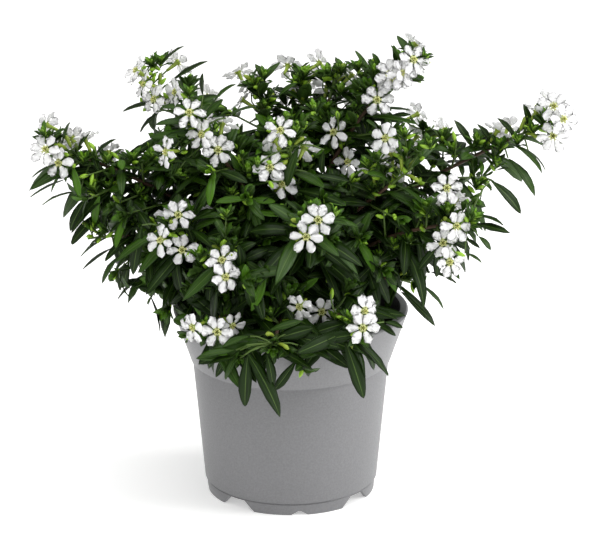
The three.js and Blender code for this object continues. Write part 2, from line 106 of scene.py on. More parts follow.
# How far nothing stands before a bloom: where the photo shows it, towards the camera and
# towards the light, and elsewhere the way that it faces.
SIGHT_FREE, LIGHT_FREE, FACE_FREE = 400.0, 24.0, 13.0

# Rises of a shoot's last stretch, in degrees: it hangs below the first, is level below the second
# and slants below the third, and it is steep above the fourth and upright above the fifth.
HANGING, LEVEL, SLANTING, STEEP, UPRIGHT = -25, 10, 30, 47, 70
# How many stretches a stem, a side twig's line, a thin stalk and a bud have.
MAIN_STEPS, SIDE_STEPS, FINE_STEPS, BUD_STEPS = 6, 12, 3, 4
# The radii of stems, twigs, stalks and buds at their two ends.
BROWN_STEM, GREEN_STEM, SIDE_TWIG = (1.15, 0.85), (0.86, 0.5), (0.62, 0.38)
AXIL_STALK, BLOOM_STALK, TWIGLET, BUD_BODY = (0.45, 0.32), (0.4, 0.45), (0.5, 0.36), (1.0, 1.0)
# How far buds and closed tubes swell at each end of their stretches, from foot to tip.
BUD_SWELL, TUBE_SWELL = (0.45, 0.95, 1.15, 0.9, 0.35), (0.6, 0.95, 0.9, 1.2, 0.5)
CALYX_LENGTH = 8.5
# Each pair of petals: its turn from the top in degrees, its length and its width.
PETAL_FAN = ((28, 6.7, 5.2), (88, 7.3, 5.2), (149, 7.3, 5.4))

# How many times a blade's edge waves up and down, and in and out, between foot and tip.
EDGE_WAVES, EDGE_SWINGS = 2.5, 1.7
# A blade's own map of shares across and along it, and how far it drifts from copy to copy.
OWN_MAP = "own_shares"
MAP_DRIFT = np.array([2.3, 0.37])
# How far light travels inside a petal.
SHEER_DEPTH = 0.6

Array = np.ndarray
Measure = float | Array
Tree, Node, Socket, Shape = bpy.types.NodeTree, bpy.types.Node, bpy.types.NodeSocket, bmesh.types.BMesh


# Small helpers


def linear(hex_colour: str) -> tuple[float, float, float, float]:
    """Turns an sRGB hex colour to linear.

    Args:
        hex_colour: A colour such as "#8f9091".

    Returns:
        Linear red, green and blue, and an alpha of 1.
    """
    channels = [int(hex_colour[i : i + 2], 16) / 255 for i in (1, 3, 5)]
    shares = [c / 12.92 if c <= 0.04045 else ((c + 0.055) / 1.055) ** 2.4 for c in channels]
    return (*shares, 1.0)


def blend(low: Measure, high: Measure, share: Measure) -> Measure:
    """Returns the value at a share of the way from low to high."""
    return low + (high - low) * share


def unit(vector: Array) -> Array:
    """Returns a vector, or each of several, made one unit long."""
    return vector / np.linalg.norm(vector, axis=-1, keepdims=True)


def heading(*terms: tuple[Array, float]) -> Array:
    """Returns a weighted sum of directions, made one unit long."""
    return unit(sum(direction * weight for direction, weight in terms))


def bearing(degrees: float, rise: float = 0.0) -> Array:
    """Returns the direction of a bearing that rises by so many degrees."""
    turn, lift = math.radians(degrees), math.radians(rise)
    return np.array([math.cos(turn) * math.cos(lift), math.sin(turn) * math.cos(lift), math.sin(lift)])


def across(along: Array, aside: Array) -> tuple[Array, Array]:
    """Returns the directions across a line: to its side, as near as can be to aside, and over it."""
    side = unit(aside - along * (aside @ along))
    return side, np.cross(side, along)


def spoke(sides: tuple[Array, Array], turn: float, half: int = 1) -> Array:
    """Returns the way out from a line at a turn about it or, for half -1, the opposite way."""
    return heading((sides[0], half * math.cos(turn)), (sides[1], half * math.sin(turn)))


def turned(vector: Array, axis: Array, degrees: float) -> Array:
    """Returns a vector turned by so many degrees about an axis through the origin."""
    angle = math.radians(degrees)
    along = axis * (vector @ axis) * (1 - math.cos(angle))
    return vector * math.cos(angle) + np.cross(axis, vector) * math.sin(angle) + along


def sight(x: float, y: float) -> Array:
    """Returns the direction in which the photo's camera sees a pixel."""
    right, up = (x - PHOTO_WIDTH / 2) / FOCAL_PIXELS, (PHOTO_HEIGHT / 2 - y) / FOCAL_PIXELS
    return unit(AHEAD + right * RIGHTWARD + up * UPWARD)


def pixels(points: Array) -> Array:
    """Finds the pixels at which the photo's camera sees points.

    Args:
        points: The points.

    Returns:
        The pixels, across and down.
    """
    away = points - CAMERA_PLACE
    depth = away @ AHEAD
    x = PHOTO_WIDTH / 2 + FOCAL_PIXELS * (away @ RIGHTWARD) / depth
    y = PHOTO_HEIGHT / 2 - FOCAL_PIXELS * (away @ UPWARD) / depth
    return np.stack([x, y], -1)


class Draw:
    """The solids' seeded draw: a small 32-bit generator of numbers from 0 to 1."""

    def __init__(self, seed: int) -> None:
        """Starts the draw from a whole number."""
        self.state = seed & MASK

    def __call__(self) -> float:
        """Returns the next number."""
        self.state = (self.state + 0x6D2B79F5) & MASK
        mixed = ((self.state ^ (self.state >> 15)) * (self.state | 1)) & MASK
        mixed ^= (mixed + (((mixed ^ (mixed >> 7)) * (mixed | 61)) & MASK)) & MASK
        return (mixed ^ (mixed >> 14)) / 2**32

    def between(self, low: float, high: float) -> float:
        """Returns the next number, spread from low to high."""
        return blend(low, high, self())


# Materials


def add_node(tree: Tree, kind: str, inputs: dict | None = None, **settings: object) -> Node:
    """Adds a shader node with its settings and links.

    Args:
        tree: The material's node tree.
        kind: The node's type.
        inputs: For each input by name or number, a value or the output socket that feeds it.
        **settings: Values for the node's own attributes.

    Returns:
        The new node.
    """
    node = tree.nodes.new(kind)
    for name, value in settings.items():
        setattr(node, name, value)
    for name, value in (inputs or {}).items():
        if isinstance(value, Socket):
            tree.links.new(value, node.inputs[name])
        else:
            node.inputs[name].default_value = value
    return node


def blotches(place: Socket, size_mm: float, detail: float) -> dict[str, object]:
    """Returns the inputs of a noise whose blotches are so many millimetres wide."""
    return {"Vector": place, "Scale": 1 / (size_mm * MM), "Detail": detail}


def spread(value: Socket, low: float, high: float) -> dict[str, object]:
    """Returns the inputs that spread the middle of a noise's range from one number to another."""
    return {"Value": value, "From Min": 0.3, "From Max": 0.7, "To Min": low, "To Max": high}


@dataclass(frozen=True)
class Finish:
    """A surface: a base colour that wavers a little, a roughness and a fine relief.

    Attributes:
        name: The real material and how its surface was made.
        colour: The sRGB colour.
        roughness: The roughness of the bare surface.
        waver: How far the colour's brightness wavers, as a share.
        patch_mm: The size of the patches that it wavers by.
        relief_mm: The depth of the fine relief.
        grain_mm: The width of the grain that the relief and the roughness follow.
        ior: The index of refraction.
        sheen: The strength of its mirror reflection; 0.5 is that of the index alone.
        sheer: The share of the light that sinks in and comes out again nearby.
    """

    name: str
    colour: str
    roughness: float
    waver: float = 0.08
    patch_mm: float = 5.0
    relief_mm: float = 0.05
    grain_mm: float = 1.0
    ior: float = 1.45
    sheen: float = 0.5
    sheer: float = 0.0

    def patterns(self, tree: Tree, place: Socket, grain: Socket) -> tuple[Socket, Socket, float]:
        """Adds the patterns of the colour and of the relief.

        Args:
            tree: The material's node tree.
            place: The piece's own coordinates.
            grain: The pattern of the fine grain.

        Returns:
            What the colour wavers by, what the relief follows and its depth in millimetres.
        """
        patches = add_node(tree, "ShaderNodeTexNoise", blotches(place, self.patch_mm, 3.0))
        return patches.outputs["Fac"], grain, self.relief_mm

    def dress(self, tree: Tree, shader: Node) -> None:
        """Feeds the shader its colour, roughness and relief.

        Args:
            tree: The material's node tree.
            shader: Its Principled BSDF.
        """
        place = add_node(tree, "ShaderNodeTexCoord").outputs["Object"]
        grain = add_node(tree, "ShaderNodeTexNoise", blotches(place, self.grain_mm, 2.0)).outputs["Fac"]
        tint, relief, depth_mm = self.patterns(tree, place, grain)
        value = add_node(tree, "ShaderNodeMapRange", spread(tint, 1 - self.waver, 1 + self.waver))
        colour = {"Color": linear(self.colour), "Value": value.outputs["Result"]}
        rough = spread(grain, self.roughness * 0.85, min(1.0, self.roughness * 1.15))
        bump = {"Height": relief, "Distance": depth_mm * MM, "Strength": 1.0}
        for kind, inputs, output, target in (
            ("ShaderNodeHueSaturation", colour, "Color", "Base Color"),
            ("ShaderNodeMapRange", rough, "Result", "Roughness"),
            ("ShaderNodeBump", bump, "Normal", "Normal"),
        ):
            tree.links.new(add_node(tree, kind, inputs).outputs[output], shader.inputs[target])

    def material(self) -> bpy.types.Material:
        """Makes the finish's material, or finds it where it is made already.

        Returns:
            The material.
        """
        found = bpy.data.materials.get(self.name)
        if found:
            return found
        material = bpy.data.materials.new(self.name)
        material.use_nodes = True
        shader = material.node_tree.nodes["Principled BSDF"]
        for name, value in (
            ("Base Color", linear(self.colour)),
            ("Roughness", self.roughness),
            ("IOR", self.ior),
            ("Specular IOR Level", self.sheen),
            ("Subsurface Weight", self.sheer),
            ("Subsurface Radius", (1.0, 1.0, 1.0)),
            ("Subsurface Scale", SHEER_DEPTH * MM),
        ):
            shader.inputs[name].default_value = value
        self.dress(material.node_tree, shader)
        return material


@dataclass(frozen=True)
class Bark(Finish):
    """Thin young bark, whose fine ridges run up the limb.

    Attributes:
        ridge_mm: The width of a ridge.
        ridge_depth_mm: The depth of the furrows.
        squeeze: How much slower the ridges change along the limb than across it.
    """

    ridge_mm: float = 0.8
    ridge_depth_mm: float = 0.25
    squeeze: float = 0.25

    def patterns(self, tree: Tree, place: Socket, grain: Socket) -> tuple[Socket, Socket, float]:
        """Adds the common patches and long fine ridges.

        Args:
            tree: The material's node tree.
            place: The piece's own coordinates.
            grain: The pattern of the fine grain.

        Returns:
            The patches, the ridges and their depth in millimetres.
        """
        patches, _, _ = super().patterns(tree, place, grain)
        long = add_node(tree, "ShaderNodeMapping", {"Vector": place, "Scale": (1.0, 1.0, self.squeeze)})
        ridges = blotches(long.outputs["Vector"], self.ridge_mm, 2.0)
        return patches, add_node(tree, "ShaderNodeTexNoise", ridges).outputs["Fac"], self.ridge_depth_mm


@dataclass(frozen=True)
class LeafSkin(Finish):
    """A leaf's or petal's skin, whose fine veins run along the blade by its own map.

    Attributes:
        veins: How many veins show across the blade.
        vein_changes: How many times a vein's shade changes along the blade.
        vein_depth_mm: The depth of a vein.
    """

    veins: float = 5.0
    vein_changes: float = 0.9
    vein_depth_mm: float = 0.35

    def patterns(self, tree: Tree, place: Socket, grain: Socket) -> tuple[Socket, Socket, float]:
        """Adds long veins, which the colour and the relief both follow.

        Args:
            tree: The material's node tree.
            place: The piece's own coordinates.
            grain: The pattern of the fine grain.

        Returns:
            The veins twice, and their depth in millimetres.
        """
        own = add_node(tree, "ShaderNodeUVMap", uv_map=OWN_MAP).outputs["UV"]
        scale = (self.veins, self.vein_changes, 1.0)
        long = add_node(tree, "ShaderNodeMapping", {"Vector": own, "Scale": scale}).outputs["Vector"]
        inputs = {"Vector": long, "Scale": 1.0, "Detail": 2.0}
        veins = add_node(tree, "ShaderNodeTexNoise", inputs).outputs["Fac"]
        return veins, veins, self.vein_depth_mm


# Moulded polypropylene has a spark-eroded grain that breaks its gloss into a soft sheen. The real
# grain is about 0.3 mm and is drawn two to three times as coarse, so that it shows.
POT_OUTSIDE = Finish("Moulded grey polypropylene", "#767678", 0.42, 0.09, 0.9, 0.07, 0.7, ior=1.49)
# The inner wall and floor are near-black, smoother and duller than the outside.
POT_INSIDE = Finish("Near-black inner pot wall", "#151517", 0.5, 0.1, 6.0, 0.03, 1.5, ior=1.49)
# Moist peat is almost black and crumbly, with no gloss.
PEAT = Finish("Moist sieved peat", "#241a13", 0.95, 0.45, 2.5, 0.5, 1.2, ior=1.35)
PEAT_CRUMB = Finish("Peat crumb", "#33261b", 0.95, 0.4, 1.5, 0.3, 0.7, ior=1.35)
# Thin bark is matt brown, and looks ridged along the limb.
WOOD = Bark("Young shrub bark", "#5d4433", 0.75, 0.25, 3.0)
# Twigs turn from a reddish brown to a fleshy green towards their tips.
TWIG_BROWN = Finish("Reddish twig skin", "#4a3524", 0.6, 0.18, 3.0)
TWIG_GREEN = Finish("Green twig skin", "#4c6426", 0.5, 0.12, 3.0)
# A waxy cuticle gives old leaves a dark satin gloss. Young ones are brighter and softer.
# The old leaves' dark colour also serves as painted shade: it is dealt more often the lower a leaf stands in
# the crown.
LEAF_OLD_AND_SHADED = LeafSkin("Waxy old leaf and painted shade", "#172b05", 0.33, 0.35, grain_mm=1.2, sheen=0.17)
LEAF_MID = LeafSkin("Waxy full leaf", "#274308", 0.33, 0.35, grain_mm=1.2, sheen=0.26)
LEAF_FRESH = LeafSkin("Waxy new leaf", "#41690f", 0.38, 0.25, grain_mm=1.2, sheen=0.25)
LEAF_YOUNG = LeafSkin("Soft tip leaf", "#659418", 0.42, 0.25, grain_mm=1.0, sheen=0.35)
# A leaf that yellows dries out, and turns dull and blotched.
LEAF_YELLOW = Finish("Yellowing leaf", "#a08a2c", 0.5, 0.15, 3.0, 0.05, 1.2)
# The pale side of a leaf has no gloss, and its rib stands out lighter than the blade.
UNDERSIDE = Finish("Matt leaf underside", "#36501a", 0.62, 0.08, 4.0, sheen=0.2)
UNDERSIDE_YOUNG = Finish("Young leaf underside", "#72982f", 0.6, 0.08, 4.0)
RIB = Finish("Pale leaf rib", "#435a24", 0.45, 0.06, 4.0, 0.02, sheen=0.25)
RIB_YOUNG = Finish("Young leaf rib", "#86ad33", 0.45, 0.06, 4.0, 0.02)
# Petals are thin, crinkled and almost white, let light through and yellow a little at the claw.
PETAL = LeafSkin("Crinkled white petal", "#f4f3f5", 0.6, 0.04, grain_mm=0.9, ior=1.4, sheer=0.85)
PETAL_CLAW = Finish("Petal claw", "#d3d79a", 0.6, 0.05, 2.0, 0.04, 0.9, ior=1.4)
# The calyx is a matt yellow green, darker down its throat, where powdery anthers stand out pale.
CALYX = Finish("Ribbed calyx skin", "#84992f", 0.5, 0.12, 2.0, 0.05, 0.8)
THROAT = Finish("Flower throat", "#67741f", 0.55, 0.3, 1.5, 0.05, 0.8)
ANTHER = Finish("Anther", "#cfd07a", 0.6, 0.1, 1.0, 0.02, 0.5)
# A bud's skin is taut and smooth, so that it shines a little.
BUD = Finish("Smooth green bud", "#86ae2b", 0.42, 0.1, 2.0, 0.03, 0.8)


# Meshes from templates


@dataclass(frozen=True)
class Template:
    """A small shape, modelled once, that arrays place many times.

    Attributes:
        points: Its vertices, in the shape's own measures.
        faces: The vertex numbers of each face.
        slots: The material number of each face.
    """

    points: Array
    faces: list[list[int]]
    slots: list[int]

    @classmethod
    def of(cls, bm: Shape) -> "Template":
        """Reads a template from a bmesh.

        Args:
            bm: The shape, which is freed.

        Returns:
            The template.
        """
        bm.verts.index_update()
        points = np.array([vert.co[:] for vert in bm.verts])
        faces = [[vert.index for vert in face.verts] for face in bm.faces]
        slots = [face.material_index for face in bm.faces]
        bm.free()
        return cls(points, faces, slots)


# The vertices of each copy of a template, in millimetres, as copies by vertices by three.
Lot = tuple[Template, Array]


def linked(name: str, data: bpy.types.ID) -> bpy.types.Object:
    """Returns a new object that stands in the scene."""
    made = bpy.data.objects.new(name, data)
    bpy.context.scene.collection.objects.link(made)
    return made


def publish(mesh: bpy.types.Mesh, name: str, finishes: Sequence[Finish]) -> bpy.types.Object:
    """Links a finished mesh as a piece that rides on the frame.

    Args:
        mesh: The mesh, in metres and in place.
        name: The piece's name.
        finishes: The finish of each material number.

    Returns:
        The object.
    """
    for finish in finishes:
        mesh.materials.append(finish.material())
    piece = linked(name, mesh)
    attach(piece, "root")
    triangles = sum(len(face.vertices) - 2 for face in mesh.polygons)
    LOG.info("%s: %d triangles", name, triangles)
    return piece


def publish_lots(lots: Iterable[Lot], name: str, finishes: Sequence[Finish]) -> bpy.types.Object:
    """Joins the copies of templates to one mesh and publishes it.

    Args:
        lots: The templates with their copies.
        name: The piece's name.
        finishes: The finish of each material number.

    Returns:
        The object.
    """
    parts = []
    count = 0
    for template, places in lots:
        copies, verts = places.shape[:2]
        corners = np.concatenate([np.array(face) for face in template.faces])
        starts = count + np.arange(copies) * verts
        drift = np.arange(copies)[:, None, None] * MAP_DRIFT
        parts.append((
            places.reshape(-1, 3) * MM,
            (corners[None, :] + starts[:, None]).ravel(),
            np.tile([len(face) for face in template.faces], copies),
            np.tile(template.slots, copies),
            (template.points[corners, :2][None] + drift).reshape(-1, 2),
        ))
        count += copies * verts
    points, corners, sizes, slots, maps = (np.concatenate(column) for column in zip(*parts))
    mesh = bpy.data.meshes.new(name)
    mesh.vertices.add(len(points))
    mesh.vertices.foreach_set("co", points.astype(np.float32).ravel())
    mesh.loops.add(len(corners))
    mesh.loops.foreach_set("vertex_index", corners.astype(np.int32))
    mesh.polygons.add(len(sizes))
    mesh.polygons.foreach_set("loop_start", (np.cumsum(sizes) - sizes).astype(np.int32))
    mesh.polygons.foreach_set("material_index", slots.astype(np.int32))
    mesh.update(calc_edges=True)
    layer = mesh.uv_layers.new(name=OWN_MAP)
    layer.data.foreach_set("uv", maps.astype(np.float32).ravel())
    mesh.validate()
    mesh.polygons.foreach_set("use_smooth", np.ones(len(mesh.polygons), bool))
    return publish(mesh, name, finishes)


def mesh_of(bm: Shape, name: str) -> bpy.types.Mesh:
    """Turns a bmesh in millimetres to a smooth mesh in metres, with its faces outward.

    Args:
        bm: The shape, which is freed.
        name: The mesh's name.

    Returns:
        The mesh.
    """
    bmesh.ops.recalc_face_normals(bm, faces=bm.faces)
    bmesh.ops.scale(bm, vec=(MM, MM, MM), verts=bm.verts)
    for face in bm.faces:
        face.smooth = True
    mesh = bpy.data.meshes.new(name)
    bm.to_mesh(mesh)
    bm.free()
    return mesh


def spun(profile: Iterable[tuple[float, float]], steps: int) -> Shape:
    """Spins an outline about the upright axis to a closed shell.

    Args:
        profile: The outline, as radius and height, from the axis out and back to it.
        steps: The stretches round the axis.

    Returns:
        The shell, with its doubles merged and its faces outward.
    """
    bm = bmesh.new()
    verts = [bm.verts.new((radius, 0, height)) for radius, height in profile]
    edges = [bm.edges.new(pair) for pair in zip(verts, verts[1:])]
    bmesh.ops.spin(bm, geom=verts + edges, axis=(0, 0, 1), angle=2 * math.pi, steps=steps, use_merge=True)
    bmesh.ops.remove_doubles(bm, verts=bm.verts, dist=1e-4)
    bmesh.ops.recalc_face_normals(bm, faces=bm.faces)
    return bm


def blade_template(
    columns: Sequence[float], rows: Sequence[float], under: Sequence[float], rib: int | None, foot: float = 0
) -> Template:
    """Models a closed flat blade whose vertices hold their share across, along and below.

    Args:
        columns: The shares across its upper side, from -1 to 1.
        rows: The shares along it, from 0 at its root to 1 at its tip.
        under: The shares across its underside.
        rib: The number of the upper column that is its rib, if it has one.
        foot: The share of its length that is dressed as its rib is.

    Returns:
        A template with material 0 on the blade, 1 on its rib and 2 on its underside.
    """
    bm = bmesh.new()
    for shares, below in ((columns, 0.0), (under, -1.0)):
        segments = (len(shares) - 1, len(rows) - 1)
        made = bmesh.ops.create_grid(bm, x_segments=segments[0], y_segments=segments[1], size=0.5)
        verts = set(made["verts"])
        faces = [face for face in bm.faces if face.verts[0] in verts]
        for face in faces:
            middle = face.calc_center_median()
            column = int((middle.x + 0.5) * segments[0])
            in_foot = rows[int((middle.y + 0.5) * segments[1])] < foot
            face.material_index = 1 if in_foot else 2 if below else int(column == rib)
        for vert in made["verts"]:
            u = shares[round((vert.co.x + 0.5) * segments[0])]
            v = rows[round((vert.co.y + 0.5) * segments[1])]
            inside = abs(u) < 1 and 0 < v < 1
            vert.co = (0.0 if v in (0, 1) else u, v, below if inside else 0.0)
        if below:
            bmesh.ops.reverse_faces(bm, faces=faces)
    bmesh.ops.remove_doubles(bm, verts=bm.verts, dist=1e-5)
    return Template.of(bm)


def tube_template(sides: int, steps: int) -> Template:
    """Models a closed unit tube along Z, from 0 to 1, with a ring of vertices at each step.

    Args:
        sides: The corners of a ring.
        steps: The stretches along it.

    Returns:
        The template.
    """
    bm = bmesh.new()
    bmesh.ops.create_cone(bm, cap_ends=True, segments=sides, radius1=1, radius2=1, depth=1)
    sloping = [edge for edge in bm.edges if abs(edge.verts[0].co.z - edge.verts[1].co.z) > 0.5]
    if steps > 1:
        bmesh.ops.subdivide_edges(bm, edges=sloping, cuts=steps - 1)
    bmesh.ops.translate(bm, vec=(0, 0, 0.5), verts=bm.verts)
    return Template.of(bm)


# Growth


class BladeForm(Enum):
    """The outline of a blade, as powers that shape a half wave from root to tip."""

    LEAF = (1.22, 0.76)
    TIP = (1.5, 0.6)
    PETAL = (1.7, 0.5)


@dataclass
class Blade:
    """A leaf or petal.

    Attributes:
        root: Where it starts.
        forward: The way that its foot points.
        top: The way that its upper side looks there.
        length: Its length.
        width: Its greatest width.
        arch: How far it bends from foot to tip, in radians; below 0 it bends upwards.
        fold: How steeply its halves rise from the rib.
        ripple: How far its edge waves.
        phase: Where its waves start, from 0 to 1.
        sway: How far its tip swings aside, as a share of its length.
    """

    root: Array
    forward: Array
    top: Array
    length: float
    width: float
    arch: float
    fold: float = 0.2
    ripple: float = 0.05
    phase: float = 0.0
    sway: float = 0.0

    def midline(self, share: float) -> Array:
        """Finds a point of the blade's midline.

        Args:
            share: Its share of the way from foot to tip.

        Returns:
            The point.
        """
        angle = max(abs(self.arch), 1e-3)
        sign = math.copysign(1.0, self.arch)
        run = math.sin(angle * share) / angle
        drop = (1 - math.cos(angle * share)) / angle
        top = unit(self.top - self.forward * (self.top @ self.forward))
        return self.root + self.length * (self.forward * run - top * drop * sign)


def bent_blades(template: Template, blades: Sequence[Blade], form: BladeForm, thickness: float) -> Lot:
    """Bends a copy of a flat blade to each place.

    Args:
        template: The flat blade.
        blades: Where each copy goes.
        form: The outline.
        thickness: The blade's thickness in millimetres.

    Returns:
        The flat blade and its bent copies.
    """

    def column(name: str) -> Array:
        """Returns one measure of every blade, as a column."""
        return np.array([getattr(blade, name) for blade in blades], float)

    u, v, below = template.points.T
    early, sharp = form.value
    outline = np.abs(np.sin(np.pi * np.clip(v, 0, 1) ** early)) ** sharp
    root, forward = column("root")[:, None, :], unit(column("forward"))[:, None, :]
    raw = column("top")[:, None, :]
    top = unit(raw - forward * (raw * forward).sum(-1, keepdims=True))
    side = np.cross(forward, top)
    measures = ("length", "width", "arch", "fold", "ripple", "phase", "sway")
    length, width, arch, fold, ripple, phase, sway = (column(name)[:, None] for name in measures)
    arch = np.where(np.abs(arch) < 1e-3, 1e-3, arch)
    v = v + 0.25 * ripple * v**2 * np.sin(3.1 * u + 2 * np.pi * phase)
    bend = arch * v
    run, drop = length * np.sin(bend) / arch, length * (1 - np.cos(bend)) / arch
    half = 0.5 * width * outline
    lift = half * (fold * np.abs(u) - 0.35 * fold * u**2)
    wave = half * ripple * np.abs(u) * np.sin(2 * np.pi * (EDGE_WAVES * v + phase) + 0.9 * np.sign(u))
    rise = lift + wave + thickness * below
    normal = forward * np.sin(bend)[..., None] + top * np.cos(bend)[..., None]
    scallop = 1 + 0.4 * ripple * np.sin(2 * np.pi * (EDGE_SWINGS * v + phase) + 2.1 * np.sign(u))
    aside = u * half * scallop + sway * length * v**2
    centre = root + forward * run[..., None] - top * drop[..., None]
    return template, centre + side * aside[..., None] + normal * rise[..., None]


@dataclass
class Limb:
    """A tapering limb.

    Attributes:
        line: The points of its centre line.
        radii: Its radius at its foot and at its tip.
        aside: A direction across it, which its corners are counted from.
    """

    line: Array
    radii: tuple[float, float]
    aside: Array


def rounded(points: Sequence[Array], steps: int) -> Array:
    """Rounds a bent line of three points to a curve that touches its ends.

    Args:
        points: The root, the bend and the tip.
        steps: The stretches of the curve.

    Returns:
        Its points.
    """
    root, bend, tip = points
    middle = 2 * bend - 0.5 * (root + tip)
    share = np.linspace(0, 1, steps + 1)[:, None]
    return (1 - share) ** 2 * root + 2 * share * (1 - share) * middle + share**2 * tip


def bent_tubes(sides: int, steps: int, limbs: Sequence[Limb], swell: Sequence[float] | None = None) -> Lot:
    """Bends a tube along each limb.

    Args:
        sides: The corners of a ring.
        steps: The stretches of a tube.
        limbs: The limbs, whose lines have one point more than steps.
        swell: How far the tubes swell at each end of their stretches; without it, nowhere.

    Returns:
        The straight tube and its bent copies.
    """
    template = tube_template(sides, steps)
    x, y, z = template.points.T
    rows = np.rint(z * steps).astype(int)
    swelling = np.ones(len(rows)) if swell is None else np.array(swell)[rows]
    places = []
    for limb in limbs:
        line = limb.line
        along = unit(np.gradient(line, axis=0))
        side = unit(limb.aside - along * (along @ limb.aside)[:, None])
        over = np.cross(along, side)
        radius = (blend(*limb.radii, z) * swelling)[:, None]
        ring = side[rows] * x[:, None] + over[rows] * y[:, None]
        places.append(line[rows] + ring * radius)
    return template, np.array(places)


class Habit(Enum):
    """How thickly side twigs stand on a shoot."""

    SLENDER = "none on its outer half"
    PLAIN = "at one leaf of each pair"
    BUSHY = "at every leaf"


@dataclass(frozen=True)
class Shoot:
    """One shoot of the crown.

    Attributes:
        name: Its name.
        tip: Where it ends.
        rise: The rise of its last stretch in degrees.
        bare: The share of its length that is bare bough.
        hang: How far its leaves hang.
        blooms: How many blooms stand near its tip.
        look: The bearing that its blooms look to.
        habit: How thickly its side twigs stand.
    """

    name: str
    tip: tuple[float, float, float]
    rise: float
    bare: float
    hang: float
    blooms: int
    look: float
    habit: Habit = Habit.PLAIN

    @property
    def tip_size(self) -> float:
        """The size of the leaves at its tip, as a share; they stay large over the pot's front."""
        if self.tip[2] < LOW_TIP and self.tip[1] < -RIM_RADIUS:
            return 0.95
        return 0.85 if self.rise < LEVEL else 0.74 if self.rise < SLANTING else 0.6

    @property
    def forks(self) -> float:
        """The share of its leafy stretch that bears side twigs; steep ones end in a clear tuft."""
        if self.habit is Habit.SLENDER:
            return 0.5
        return 0.62 if self.rise > STEEP else 0.82

    @property
    def end(self) -> float:
        """The share of its curve where its leaves end; steep ones carry on in tufts and blooms."""
        if self.rise < HANGING:
            return 0.86
        return 0.975 if self.rise > UPRIGHT or self.habit is Habit.SLENDER else 1.0

    @property
    def climb(self) -> float:
        """The steepness of the straight way from the stem's foot to the tip."""
        x, y, z = self.tip
        return math.atan2(z - STEM_FOOT, math.hypot(x, y))


SHOOTS = (
    Shoot("left_reach", (-121, -8, 186), 22, 0.34, 0.8, 3, -112, Habit.BUSHY),
    Shoot("left_crest", (-77, 14, 217), 46, 0.36, 0.2, 3, -150),
    Shoot("left_shoulder", (-46, -32, 205), 60, 0.34, 0.3, 2, -95),
    Shoot("crown_left", (-18, 20, 214), 72, 0.36, 0.2, 1, 150),
    Shoot("crown_middle", (6, 30, 212), 80, 0.38, 0.2, 1, 95),
    Shoot("crown_right", (24, 26, 216), 66, 0.36, 0.2, 1, 60),
    Shoot("right_crest", (63, 8, 226), 40, 0.36, 0.3, 3, -75),
    Shoot("right_reach", (134, -6, 199), 26, 0.34, 0.8, 3, -60, Habit.SLENDER),
    Shoot("right_rear", (74, 44, 181), 48, 0.34, 0.3, 2, 35),
    Shoot("right_flank", (90, -46, 156), 8, 0.34, 0.7, 3, -72),
    Shoot("right_skirt", (70, -16, 112), -28, 0.34, 0.9, 0, -60),
    Shoot("front_right_skirt", (34, -78, 108), -14, 0.34, 0.9, 2, -84),
    Shoot("front_skirt", (-8, -84, 104), -18, 0.36, 0.9, 1, -88),
    Shoot("front_face", (8, -70, 162), 24, 0.34, 0.5, 3, -92),
    Shoot("front_left_skirt", (-42, -72, 108), -14, 0.34, 0.9, 3, -96),
    Shoot("left_front", (-33, -64, 144), 14, 0.34, 0.6, 2, -94),
    Shoot("left_skirt", (-76, -20, 108), -32, 0.34, 0.9, 0, -120),
    Shoot("left_bank", (-102, -14, 138), -8, 0.34, 0.8, 0, -130),
    Shoot("left_flank", (-62, -46, 153), 16, 0.34, 0.6, 3, -98),
    Shoot("front_crest", (0, -38, 195), 62, 0.36, 0.3, 2, -92),
    Shoot("right_shoulder", (60, -34, 181), 42, 0.34, 0.4, 3, -80),
    Shoot("rear_left_skirt", (-54, 62, 124), -8, 0.34, 0.8, 2, 132),
    Shoot("rear_right_skirt", (56, 64, 120), -10, 0.34, 0.8, 2, 48),
    Shoot("rear_face", (2, 82, 150), 18, 0.34, 0.5, 2, 90),
    Shoot("rear_left_crest", (-48, 54, 186), 46, 0.34, 0.3, 2, 130),
    Shoot("rear_right_crest", (42, 46, 208), 56, 0.36, 0.3, 2, 70),
)

# Blooms whose faces the photo shows: the pixel of each middle, and how far the bloom looks to
# the right, from -1 to 1.
BLOOMS_SEEN = (
    (45, 149, 0.0), (58, 163, -0.2), (135, 70, -0.75), (143, 84, -0.6), (189, 112, 0.1),
    (174, 92, -0.5), (201, 134, -0.3), (218, 150, 0.5), (280, 130, 0.0), (270, 167, 0.2),
    (282, 184, 0.4), (333, 132, -0.3), (347, 162, -0.6), (385, 138, -0.5), (414, 59, 0.1),
    (405, 73, 0.5), (391, 79, -0.4), (447, 188, 0.0), (457, 226, 0.0), (443, 243, -0.4),
    (450, 262, 0.2), (564, 119, 0.1), (553, 136, -0.2), (554, 106, -0.1), (178, 215, 0.0),
    (160, 240, -0.4), (182, 250, 0.1), (222, 260, 0.3), (226, 277, 0.5), (306, 237, -0.3),
    (318, 220, 0.0), (217, 332, 0.0), (192, 328, -0.5), (233, 326, 0.6), (322, 312, 0.1),
    (299, 307, -0.6), (363, 328, 0.0), (365, 311, 0.5), (165, 152, -0.6),
)
# Blooms behind the crown's edge, seen from the back, in the same measures.
BLOOMS_BEHIND = (
    (73, 139, 0.2), (46, 125, 0.0), (178, 62, 0.7), (208, 96, 0.5), (238, 72, -0.3), (288, 66, 0.2),
    (320, 63, 0.4), (352, 118, 0.0), (416, 44, 0.2), (418, 114, 0.4), (445, 130, 0.5), (548, 103, 0.0),
)
